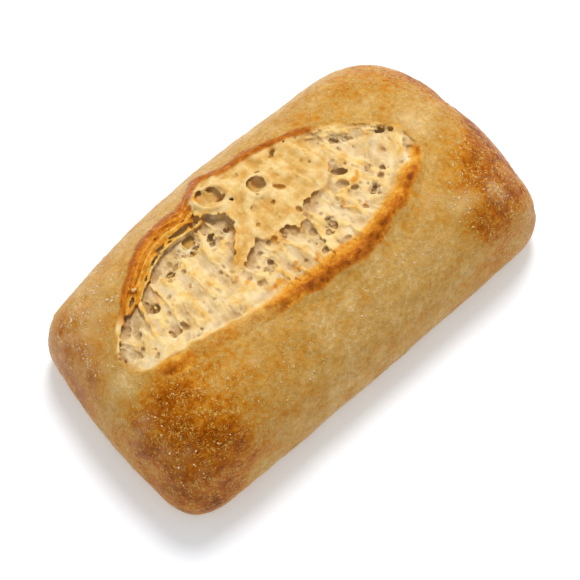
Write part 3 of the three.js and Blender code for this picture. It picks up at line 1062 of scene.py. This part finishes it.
def layered_toast(layers):
    """Level and cover of several layers of toast, where the better covering one counts more."""
    total = sum(np.clip(cover, 0, 1) ** 2 for level, cover in layers) + 1e-6
    level = sum(level * np.clip(cover, 0, 1) ** 2 for level, cover in layers) / total
    cover = np.maximum.reduce([cover for level, cover in layers])
    return np.clip(level, 0, 1), np.clip(cover, 0, 1)


# How hollow a place is at three scales: cell of the raster and passes of the blur
HOLLOW_SCALES = [(0.5, 6), (0.4, 1), (0.5, 20)]


def paint_burst(crumb):
    """Stores where the burst is open, skin, proud and toasted, and the painted shade of its hollows, for its
    material.
    """
    points = read_points(crumb) / MM
    x, y, z = points.T
    broad, fine, folded = [surroundings(points, cell, passes) - z for cell, passes in HOLLOW_SCALES]
    wander = plan_lumps(x, y, COLOUR_WANDER)
    level, cover = burst_toast(points, broad)
    across, along = pull(x, y)
    paint(crumb, "open", open_share(x, y, wander))
    paint(crumb, "skin", skin_colour_share(x, y, wander) * falling(broad, 1.0, 2.4))
    # Painted shade for hollows, fold valleys and the strip beside the skin's loose edge
    paint(crumb, "painted_shade", painted_hollow_shade(x, y, broad, fine, folded))
    # How far each place stands out: the crumb is yellower there, and on the skin it gets painted highlight,
    # or painted shade where it lies low
    paint(crumb, "proud", smoothstep(-folded - 0.3 * fine, -0.5, 0.5))
    paint(crumb, "toast", level)
    paint(crumb, "cover", cover * falling(broad, 1.4, 3.4))
    paint(crumb, "bake", bake_level(points))
    paint(crumb, "drawn", np.column_stack([across, along * 0.16, z * 0.5]) * MM)


def open_share(x, y, wander):
    """1 where the crumb's colour shows, 0 on the crust."""
    past_ear, before_lip = burst_place(x, y)
    soft_lip = mix(0.4, 2.4, smoothstep(x, 14, 26))
    sides = smoothstep(past_ear + 0.5 * wander, 0.2, 1.8) * smoothstep(before_lip + wander, -0.4, soft_lip)
    left = smoothstep(x + wander, LEFT_TIP + 1, LEFT_TIP + 5)
    return sides * left * falling(x + wander, RIGHT_TIP - 4.5, RIGHT_TIP - 0.5)


def skin_colour_share(x, y, wander):
    """1 where the skin's colour shows, with a soft edge where the skin passes into the crumb."""
    inside = inside_skin(x, y)
    return mix(smoothstep(inside, -4.0, 3.0), smoothstep(inside + 0.6 * wander, -0.8, 1.6), loose_edge(x, y))


def painted_hollow_shade(x, y, broad, fine, folded):
    """Painted shade: how much darker each place is painted for the depth of its hollow and its fold, and
    beside the skin's loose edge.
    """
    inside = inside_skin(x, y)
    # Painted shadow of the skin's loose edge on the crumb just beside it
    flap_shadow = 0.5 * hump(inside + 0.9, 1.2) * loose_edge(x, y) * (x > -8)
    shade = np.maximum.reduce([0.8 * smoothstep(broad, 0.3, 4.0), 0.5 * smoothstep(fine, 0.15, 0.9),
                               0.42 * smoothstep(folded, 0.0, 1.1), flap_shadow])
    return shade * (1 - 0.7 * smoothstep(inside, 0.0, 1.5))


def burst_toast(points, broad):
    """Toast of the ear and lip with that of the ribbons, the skin's edge and the golden blotches."""
    x, y, _ = points.T
    ribbons = [route for radius, route in lip_ribbons(np.random.default_rng(STRAND_SEED))]
    away, number = nearest_route(points, ribbons)
    layered = falling(away, 0.5, 1.6) * falling(broad, 1.4, 3.0) * smoothstep(x, -57, -45)
    ribbon_level = RIBBON_LEVELS[number] + lumps(points, RIBBON_BLOTCHES) + 0.3 * smoothstep(away, 0.3, 0.9)
    edge = hump(inside_skin(x, y) - 0.8, 1.3) * loose_edge(x, y)
    edge *= smoothstep(plan_noise(x, y, 4.0, 95), -0.3, 0.5)
    return layered_toast([toast_level(points), (ribbon_level, layered), (SKIN_EDGE_TOAST, 0.6 * edge),
                          (GOLD_TOAST, 0.9 * gold_share(x, y))])


# The crust

def make_crust():
    select_only(ROLL)
    bpy.ops.object.duplicate()
    crust = bpy.context.object
    crust.name = "crust"
    crust.data.materials.clear()
    with editing("SELECT"):
        bpy.ops.mesh.remove_doubles(threshold=0.01 * MM)
        bpy.ops.mesh.tris_convert_to_quads(face_threshold=math.radians(60), shape_threshold=math.radians(60))
    apply_modifier(crust, "SUBSURF", levels=2, render_levels=2)
    sink_under_crumb(crust)
    roughen_crust(crust)
    paint_crust(crust)
    return crust


def sink_under_crumb(crust):
    """Lowers the crust under the finely modelled piece, which takes its place."""
    points = read_points(crust)
    x, y, z = points.T / MM
    inside = inside_seam(x, y)
    near_burst = smoothstep(inside, -8, -3) * smoothstep(x, LEFT_TIP - 6, LEFT_TIP)
    near_burst *= falling(x, RIGHT_TIP - 1, RIGHT_TIP + 6)
    rim = rim_height(x, y) - CRUST_SINKS * smoothstep(inside, 2.0, 3.6)
    points[:, 2] = mix(z, rim, near_burst * smoothstep(z, 20, 26)) * MM
    write_points(crust, points)


def roughen_crust(crust):
    points = read_points(crust)
    points += read_normals(crust) * (outer_relief(points / MM) * MM)[:, None]
    points[:, 2] = np.maximum(points[:, 2], 0)
    write_points(crust, points)


# Browner and paler places of the crust: x, y, half length, half width, amount
BAKE_PATCHES = [
    (-60, -27, 13, 11, 0.36), (-66, -34, 10, 9, 0.46), (-66, -14, 8, 9, 0.28), (-53, -14, 11, 6, 0.30),
    (-50, -32, 8, 6, 0.14), (-42, -24, 11, 7, 0.16), (-64, 24, 8, 8, 0.26), (-67, 12, 6, 9, 0.30),
    (-48, 28, 14, 4, 0.10), (54, 17, 6, 5, 0.14), (40, 20, 8, 4, 0.02), (66, 12, 6, 9, 0.30),
    (54, 24, 10, 5, 0.10), (52, -23, 8, 7, 0.34), (52, -33, 9, 6, 0.30), (46, -37, 7, 4, 0.20),
    (62, -15, 8, 9, 0.30), (68, -3, 6, 9, 0.28), (63, -30, 8, 8, 0.24), (68, -18, 7, 9, 0.22),
    (28, 31, 10, 4, 0.12), (60, 30, 8, 6, 0.12), (-12, -30, 16, 8, -0.06), (12, -28, 20, 8, -0.12),
    (30, -22, 12, 8, -0.06), (-62, 0, 4, 4, -0.30), (51, -1, 5, 5, -0.22), (14, 33, 30, 5, -0.12),
    (46, 12, 7, 5, -0.16), (-40, 28, 16, 6, -0.08),
]
# Smudges of flour left on the crust, which also stand in for a pale sheen on its flanks: painted highlight
FLOUR_AND_SHEEN_PATCHES = [
    (53.5, -30.4, 2.6, 3.6, 1.0), (43, -27, 5, 2.5, 0.7), (-66, -21, 1.6, 2.4, 0.3),
    (-63, -32, 2, 1.4, 0.3), (-58, 21, 6, 5, 0.8), (-62, 12, 6, 7, 0.5), (-52, 21, 7, 4, 0.5),
    (-66, -12, 3, 2, 0.6), (-33, -22, 2, 1.2, 0.7), (-22, -17, 3, 1.2, 0.6), (-64, -27, 3, 1.5, 0.5),
    (-44, 25, 5, 3, 0.4), (49.5, 0.5, 3, 4, 0.5), (-53, 27, 7, 5, 0.9), (-26, 29, 9, 3, 0.8),
    (-63, 25, 4, 4, 0.7), (2, -31, 4, 1.5, 0.4), (36, -22, 4, 2, 0.4), (-4, 34, 10, 2, 0.4),
    (-12, 33, 6, 2, 0.6), (26, -30, 5, 2, 0.4),
]
# Specks of flour, which also stand in for small glints on the crust: painted highlights
FLOUR_AND_GLINT_SPECKS = 1000


def bake_level(points):
    """How dark the crust is baked, from 0 to 1, over points in millimetres."""
    x, y, z = points.T
    bake = np.full(len(x), BASE_BAKE)
    ragged = 1 + lumps(points, BAKE_RAGGEDNESS)
    for px, py, long, wide, amount in BAKE_PATCHES:
        spread = amount * soft_spot(x, y, px, py, long, wide) * smoothstep(z, 1, 9)
        bake += spread * (ragged if amount > 0 else 1)
    bake = np.minimum(bake, DARKEST_BAKE) + lumps(points, BAKE_MOTTLE)
    bake -= 0.06 * falling(z, 3, 12) * smoothstep(x, -56, -40)
    return np.clip(bake, 0, 1)


def soft_spot(x, y, px, py, long, wide):
    """1 in the middle of an ellipse along the axes, fading softly past its outline."""
    return np.exp(-((x - px) / long) ** 2 - ((y - py) / wide) ** 2)


def flour_and_sheen_share(points):
    """Where a film of flour, partly a painted sheen, is left on the crust, from 0 to 1."""
    x, y, z = points.T
    film = [amount * soft_spot(x, y, *ellipse) for *ellipse, amount in FLOUR_AND_SHEEN_PATCHES]
    return np.clip(np.maximum.reduce(film) * smoothstep(z, 6, 14), 0, 1)


def paint_crust(crust):
    points = read_points(crust) / MM
    level, cover = toast_level(points)
    paint(crust, "bake", bake_level(points))
    # Flour film, partly painted sheen
    paint(crust, "flour_and_shine", flour_and_sheen_share(points) * (0.6 + lumps(points, FILM_GAPS)).clip(0, 1))
    paint(crust, "toast", level)
    paint(crust, "cover", cover * smoothstep(points[:, 2], *TOP_LEVELS))


def make_flour_and_glints(crust):
    """Specks of flour that cling to the crust, thickest in its smudges; they also stand in for the crust's
    small glints, as painted highlights.
    """
    draw = np.random.default_rng(5)
    points = read_points(crust)
    normals = read_normals(crust)
    scaled = points / MM
    chance = (0.06 + flour_and_sheen_share(scaled)) * smoothstep(scaled[:, 2], 3, 10) * (normals[:, 2] > -0.1)
    chance *= inside_seam(scaled[:, 0], scaled[:, 1]) < 0.5
    chance *= 0.3 + smoothstep(noise(scaled, 3.0, 43), 0.0, 0.7)
    chosen = draw.choice(len(points), FLOUR_AND_GLINT_SPECKS, replace=False, p=chance / chance.sum())
    template = ball(1)
    placements = []
    for index in chosen:
        outward = Vector(normals[index])
        turn = outward.to_track_quat("Z", "Y").to_matrix().to_4x4()
        spin = Matrix.Rotation(draw.uniform(0, 2 * math.pi), 4, "Z")
        size = (0.09 + 0.18 * draw.random() ** 3) * MM
        shape = Matrix.Diagonal((size * draw.uniform(1.0, 1.9), size, size * 0.55, 1))
        place = Matrix.Translation(Vector(points[index]) + outward * 0.3 * size)
        placements.append(place @ turn @ spin @ shape)
    flour_and_shine = copies_of(template, placements, "flour_and_shine")
    remove(template)
    return flour_and_shine


# Materials

def linear(red, green, blue):
    """A colour given as it shows on screen, 0 to 255."""
    def channel(value):
        value /= 255
        return value / 12.92 if value <= 0.04045 else ((value + 0.055) / 1.055) ** 2.4
    return (channel(red), channel(green), channel(blue), 1.0)


def feed(tree, socket, value):
    """Links another node's output to a socket, or sets the socket's own value."""
    if isinstance(value, bpy.types.NodeSocket):
        tree.links.new(value, socket)
    else:
        socket.default_value = value


def add_node(tree, kind, values=None, **settings):
    node = tree.nodes.new(kind)
    for name, value in settings.items():
        setattr(node, name, value)
    for name, value in (values or {}).items():
        feed(tree, node.inputs[name], value)
    return node


def maths(tree, operation, first, second):
    return add_node(tree, "ShaderNodeMath", {0: first, 1: second}, operation=operation).outputs[0]


def plus(tree, first, second):
    return maths(tree, "ADD", first, second)


def minus(tree, first, second):
    return maths(tree, "SUBTRACT", first, second)


def times(tree, first, second):
    return maths(tree, "MULTIPLY", first, second)


# Numbers of a mix node's sockets: first, second and result
MIX_SOCKETS = {"RGBA": (6, 7, 2), "FLOAT": (2, 3, 0)}


def blend(tree, share, first, second, kind="RGBA", how="MIX"):
    """Mixes two colours, or two numbers where the kind is FLOAT."""
    low, high, result = MIX_SOCKETS[kind]
    node = add_node(tree, "ShaderNodeMix", data_type=kind, blend_type=how)
    for socket, value in ((0, share), (low, first), (high, second)):
        feed(tree, node.inputs[socket], value)
    return node.outputs[result]


def ramp(tree, value, stops):
    """A colour by value. Each stop is a place and the colour there, as it shows on screen."""
    node = add_node(tree, "ShaderNodeValToRGB", {"Fac": value})
    elements = node.color_ramp.elements
    while len(elements) < len(stops):
        elements.new(0.5)
    for element, (place, *colour) in zip(elements, stops):
        element.position = place
        element.color = linear(*colour)
    return node.outputs["Color"]


def attribute(tree, name):
    return add_node(tree, "ShaderNodeAttribute", attribute_name=name).outputs["Fac"]


def new_material(name):
    material = bpy.data.materials.new(name)
    material.use_nodes = True
    tree = material.node_tree
    tree.nodes.clear()
    shader = add_node(tree, "ShaderNodeBsdfPrincipled")
    output = add_node(tree, "ShaderNodeOutputMaterial")
    tree.links.new(shader.outputs[0], output.inputs["Surface"])
    return material, tree, shader


def group_of(name, inputs, outputs):
    """An empty node group with named sockets, each Float, Vector or Color, and its two ends."""
    tree = bpy.data.node_groups.new(name, "ShaderNodeTree")
    for side, sockets in (("INPUT", inputs), ("OUTPUT", outputs)):
        for socket, kind in sockets.items():
            tree.interface.new_socket(socket, in_out=side, socket_type="NodeSocket" + kind)
    return tree, tree.nodes.new("NodeGroupInput").outputs, tree.nodes.new("NodeGroupOutput").inputs


def put_out(tree, result, values):
    """Links what a node group has made to its named outputs."""
    for name, value in values.items():
        tree.links.new(value, result[name])


def use_group(tree, group, values):
    return add_node(tree, "ShaderNodeGroup", values, node_tree=group).outputs


def mapped(tree, value, low, high, new_low=0.0, new_high=1.0, smooth=True):
    """A value carried from one range to another, with soft ends or in a straight line."""
    return add_node(tree, "ShaderNodeMapRange", {
        "Value": value, "From Min": low, "From Max": high, "To Min": new_low, "To Max": new_high,
    }, interpolation_type="SMOOTHSTEP" if smooth else "LINEAR").outputs["Result"]


def noise_texture(tree, place, scale, detail, roughness=0.5, distortion=0.0):
    node = add_node(tree, "ShaderNodeTexNoise", {
        "Vector": place, "Scale": scale, "Detail": detail, "Roughness": roughness, "Distortion": distortion})
    return node.outputs["Fac"]


def blister_group():
    """The fine skin of baked dough: mottle, curled pale traces, bright specks and their relief. The pale
    traces and bright specks are partly the crust's own marks, partly painted glints.
    """
    tree, given, result = group_of("blistered skin", {"Place": "Vector", "Fineness": "Float"}, {
        "Mottle": "Float", "Traces": "Float", "Specks": "Float", "Relief": "Float"})
    place = given["Place"]

    def per_mm(count):
        return times(tree, given["Fineness"], count)

    mottle = noise_texture(tree, place, per_mm(0.75), 4.0, 0.62)
    curls = noise_texture(tree, place, per_mm(0.62), 0.0, 0.5, 1.9)
    ridge = maths(tree, "ABSOLUTE", minus(tree, curls, 0.5), 0.0)
    where = noise_texture(tree, place, per_mm(0.3), 2.0)
    traces = times(tree, mapped(tree, ridge, 0.0, 0.075, 1.0, 0.0), mapped(tree, where, 0.40, 0.56))
    sway = add_node(tree, "ShaderNodeTexNoise", {"Vector": place, "Scale": per_mm(0.9), "Detail": 1.0})
    shift = add_node(tree, "ShaderNodeVectorMath", {0: sway.outputs["Color"], 1: (SPECK_SWAY,) * 3},
                     operation="MULTIPLY")
    swayed = add_node(tree, "ShaderNodeVectorMath", {0: place, 1: shift.outputs[0]}, operation="ADD")
    cell = add_node(tree, "ShaderNodeTexVoronoi", {"Vector": swayed.outputs[0], "Scale": per_mm(0.85)})
    draw = add_node(tree, "ShaderNodeSeparateColor", {"Color": cell.outputs["Color"]}).outputs[0]
    specks = times(tree, mapped(tree, cell.outputs["Distance"], 0.12, 0.36, 1.0, 0.0),
                   mapped(tree, draw, 0.35, 0.75))
    raised = plus(tree, times(tree, traces, 0.5), times(tree, specks, 0.4))
    put_out(tree, result, {"Mottle": mottle, "Traces": traces, "Specks": specks,
                           "Relief": plus(tree, mottle, raised)})
    return tree


# Colours of the crust by how dark it is baked: level, then red, green and blue on screen
BAKED_COLOURS = [(0.0, 226, 194, 134), (0.22, 208, 166, 96), (0.42, 197, 147, 66), (0.6, 194, 124, 26),
                 (0.78, 168, 90, 4), (1.0, 124, 58, 0)]
# Colour of the pale blister marks: partly the crust's own, partly painted glints
BLISTER_AND_GLINT_COLOUR = (232, 178, 80)


def baked_group(blisters):
    """Baked crust: its colour for a level of baking from 0 to 1, its relief and its roughness."""
    tree, given, result = group_of("baked crust", {"Place": "Vector", "Bake": "Float"}, {
        "Color": "Color", "Relief": "Float", "Roughness": "Float", "Mottle": "Float", "Specks": "Float"})
    skin = use_group(tree, blisters, {"Place": given["Place"], "Fineness": CRUST_FINENESS})
    broad = noise_texture(tree, given["Place"], 170.0, 3.0, 0.55)
    uneven = plus(tree, mapped(tree, skin["Mottle"], 0.32, 0.68, -0.15, 0.15, smooth=False),
                  mapped(tree, broad, 0.3, 0.7, -0.13, 0.13, smooth=False))
    strength = mapped(tree, given["Bake"], 0.38, 0.72, 0.5, 1.5)
    # Pale traces and specks, stronger where baked darker: partly the crust's own marks, partly painted glints
    paler = plus(tree, times(tree, skin["Traces"], 0.34), times(tree, skin["Specks"], 0.26))
    level = minus(tree, plus(tree, given["Bake"], uneven), times(tree, paler, strength))
    dotted = plus(tree, times(tree, skin["Specks"], 0.14), times(tree, skin["Traces"], 0.14))
    baked = ramp(tree, level, BAKED_COLOURS)
    colour = blend(tree, times(tree, dotted, strength), baked, linear(*BLISTER_AND_GLINT_COLOUR))
    roughness = mapped(tree, skin["Mottle"], 0.3, 0.7, 0.24, 0.42, smooth=False)
    put_out(tree, result, {"Color": colour, "Relief": skin["Relief"], "Roughness": roughness,
                           "Mottle": skin["Mottle"], "Specks": skin["Specks"]})
    return tree


TOASTED_COLOURS = [(0.0, 240, 206, 132), (0.25, 232, 178, 80), (0.45, 218, 148, 44), (0.65, 196, 114, 22),
                   (0.84, 160, 84, 10), (1.0, 124, 58, 4)]


def toast_group():
    """Browns a colour towards the orange and dark brown of a thin torn edge."""
    tree, given, result = group_of("toasted edge", {
        "Color": "Color", "Level": "Float", "Cover": "Float", "Mottle": "Float", "Specks": "Float",
    }, {"Color": "Color"})
    uneven = mapped(tree, given["Mottle"], 0.3, 0.7, -0.15, 0.15, smooth=False)
    # Specks paler in spots on the toasted edge: partly its own marks, partly painted glints
    level = minus(tree, plus(tree, given["Level"], uneven), times(tree, given["Specks"], 0.15))
    browned = ramp(tree, level, TOASTED_COLOURS)
    cover = mapped(tree, given["Cover"], 0.1, 0.8)
    put_out(tree, result, {"Color": blend(tree, cover, given["Color"], browned)})
    return tree


def toasted(tree, toast, colour, crust):
    """A colour with the painted toast over it."""
    return use_group(tree, toast, {
        "Color": colour, "Level": attribute(tree, "toast"), "Cover": attribute(tree, "cover"),
        "Mottle": crust["Mottle"], "Specks": crust["Specks"]})["Color"]


def bump(tree, height, distance):
    return add_node(tree, "ShaderNodeBump", {
        "Height": height, "Distance": distance, "Strength": BUMP_STRENGTH}).outputs["Normal"]


# Colour of the flour film, partly a painted sheen
FILM_AND_SHEEN_COLOUR = (228, 190, 136)


def crust_material(baked, toast):
    material, tree, shader = new_material("crust")
    place = add_node(tree, "ShaderNodeTexCoord").outputs["Object"]
    crust = use_group(tree, baked, {"Place": place, "Bake": attribute(tree, "bake")})
    # The pale film: partly flour, partly painted sheen
    flour_and_shine = times(tree, attribute(tree, "flour_and_shine"), mapped(tree, crust["Mottle"], 0.36, 0.56))
    colour = blend(tree, flour_and_shine, toasted(tree, toast, crust["Color"], crust), linear(*FILM_AND_SHEEN_COLOUR))
    tree.links.new(colour, shader.inputs["Base Color"])
    tree.links.new(bump(tree, crust["Relief"], 0.55 * MM), shader.inputs["Normal"])
    tree.links.new(crust["Roughness"], shader.inputs["Roughness"])
    finish_dough(shader, sheen=0.08, depth=0.2)
    return material


def finish_dough(shader, sheen, depth):
    """A faint warm sheen, and light that travels a little way under the surface."""
    for name, value in (("Specular IOR Level", sheen), ("Specular Tint", WARM_SHEEN),
                        ("Subsurface Weight", depth), ("Subsurface Scale", 1.0),
                        ("Subsurface Radius", (1.6 * MM, 1.0 * MM, 0.6 * MM))):
        shader.inputs[name].default_value = value


# Whitish specks: flour, and painted glints on the crust
def flour_and_glint_material():
    material, tree, shader = new_material("flour_and_shine")
    place = add_node(tree, "ShaderNodeTexCoord").outputs["Object"]
    shade = ramp(tree, noise_texture(tree, place, 600.0, 2.0), [(0.3, 222, 192, 150), (0.7, 240, 218, 184)])
    tree.links.new(shade, shader.inputs["Base Color"])
    shader.inputs["Roughness"].default_value = 0.9
    return material


# Colours of the torn surface by its patches, and the painted shade that darkens its hollows
CREAM = [(0.34, 212, 180, 122), (0.5, 226, 200, 152), (0.66, 236, 216, 176)]
STRAW = [(0.32, 222, 170, 82), (0.46, 235, 197, 122), (0.66, 244, 218, 158)]
SKIN_COLOURS = [(0.34, 205, 156, 78), (0.46, 217, 176, 104), (0.56, 224, 189, 123), (0.68, 233, 204, 146)]
PAINTED_HOLLOW_SHADES = [(0.0, 255, 255, 255), (0.4, 226, 211, 194), (0.75, 196, 172, 142), (1.0, 164, 132, 96)]


def torn_colour(tree, patch):
    """Cream crumb that is yellower on proud places, with painted shade that makes it darker and browner in
    hollows; on the skin, painted highlight on proud places and painted shade on low ones.
    """
    proud = attribute(tree, "proud")
    colour = blend(tree, proud, ramp(tree, patch, CREAM), ramp(tree, patch, STRAW))
    # On the skin, proud places get a painted highlight and low places painted shade
    skin = ramp(tree, plus(tree, patch, mapped(tree, proud, 0.0, 1.0, -0.06, 0.05)), SKIN_COLOURS)
    colour = blend(tree, attribute(tree, "skin"), colour, skin)
    # Painted shade: the hollows' darkening, multiplied into the colour
    shade = ramp(tree, attribute(tree, "painted_shade"), PAINTED_HOLLOW_SHADES)
    return blend(tree, 1.0, colour, shade, how="MULTIPLY")


def crumb_material(blisters, baked, toast):
    material, tree, shader = new_material("crumb")
    place = add_node(tree, "ShaderNodeTexCoord").outputs["Object"]
    drawn = add_node(tree, "ShaderNodeAttribute", attribute_name="drawn").outputs["Vector"]
    crust = use_group(tree, baked, {"Place": place, "Bake": attribute(tree, "bake")})
    fine = use_group(tree, blisters, {"Place": place, "Fineness": CRUMB_FINENESS})
    fibres = noise_texture(tree, drawn, 1000.0, 2.0)
    patch = noise_texture(tree, place, 260.0, 5.0, 0.62)
    streaked = plus(tree, patch, mapped(tree, fibres, 0.3, 0.7, -0.06, 0.06, smooth=False))
    colour = blend(tree, attribute(tree, "open"), crust["Color"], torn_colour(tree, streaked))
    tree.links.new(toasted(tree, toast, colour, crust), shader.inputs["Base Color"])
    crusty = maths(tree, "MAXIMUM", minus(tree, 1.0, attribute(tree, "open")), attribute(tree, "cover"))
    rough = minus(tree, 1.0, times(tree, attribute(tree, "skin"), 0.7))
    torn = times(tree, plus(tree, fine["Mottle"], times(tree, fibres, 0.9)), rough)
    relief = blend(tree, crusty, torn, crust["Relief"], kind="FLOAT")
    tree.links.new(bump(tree, relief, 0.35 * MM), shader.inputs["Normal"])
    tree.links.new(mapped(tree, crusty, 0.0, 1.0, 0.62, 0.32, smooth=False), shader.inputs["Roughness"])
    finish_dough(shader, sheen=0.16, depth=0.32)
    return material


def dress(piece, material):
    piece.data.materials.clear()
    piece.data.materials.append(material)
    select_only(piece)
    bpy.ops.object.shade_smooth()


# Stage

def floor_material():
    material, _, shader = new_material("floor")
    shader.inputs["Base Color"].default_value = FLOOR_COLOUR
    shader.inputs["Roughness"].default_value = 0.9
    shader.inputs["Emission Color"].default_value = WHITE
    shader.inputs["Emission Strength"].default_value = FLOOR_GLOW
    return material


def make_stage():
    bpy.ops.object.select_all(action="DESELECT")
    bpy.ops.mesh.primitive_plane_add(size=FLOOR_SIZE)
    floor = bpy.context.object
    floor.name = "floor"
    floor.data.materials.append(floor_material())


def aimed(place, target):
    return (Vector(target) - Vector(place)).to_track_quat("-Z", "Y").to_euler()


def make_window():
    """The soft light from above and behind the roll."""
    light = bpy.data.lights.new("window", "AREA")
    light.shape = "DISK"
    light.size = WINDOW_SIZE
    light.energy = WINDOW_POWER
    lamp = bpy.data.objects.new("window", light)
    lamp.location = WINDOW_PLACE
    lamp.rotation_euler = aimed(WINDOW_PLACE, (0, 0, 0.02))
    bpy.context.collection.objects.link(lamp)


def make_lights():
    make_window()
    world = bpy.data.worlds.new("studio")
    world.use_nodes = True
    background = world.node_tree.nodes["Background"]
    background.inputs["Color"].default_value = WHITE
    background.inputs["Strength"].default_value = SKY_STRENGTH
    bpy.context.scene.world = world
    bpy.context.scene.view_settings.view_transform = "Standard"


def make_camera():
    azimuth = math.radians(CAMERA_AZIMUTH)
    elevation = math.radians(CAMERA_ELEVATION)
    level = math.cos(elevation)
    back = Vector((math.sin(azimuth) * level, -math.cos(azimuth) * level, math.sin(elevation)))
    right = Vector((math.cos(azimuth), math.sin(azimuth), 0))
    target = AIM + back.cross(right) * CAMERA_LIFT
    data = bpy.data.cameras.new("camera")
    data.sensor_width = SENSOR_WIDTH
    data.lens = FOCAL_PIXELS / IMAGE_SIZE * SENSOR_WIDTH
    data.clip_start = 0.01
    camera = bpy.data.objects.new("camera", data)
    camera.location = target + back * CAMERA_DISTANCE
    camera.rotation_euler = aimed(camera.location, target)
    bpy.context.collection.objects.link(camera)
    bpy.context.scene.camera = camera


def main():
    make_camera()
    make_lights()
    make_stage()
    crumb = make_crumb()
    crust = make_crust()
    blisters = blister_group()
    toast = toast_group()
    baked = baked_group(blisters)
    dress(crumb, crumb_material(blisters, baked, toast))
    dress(crust, crust_material(baked, toast))
    flour_and_shine = make_flour_and_glints(crust)
    dress(flour_and_shine, flour_and_glint_material())
    for piece in (crust, crumb, flour_and_shine):
        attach(piece, "root")
    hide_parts("bread_roll")


main()
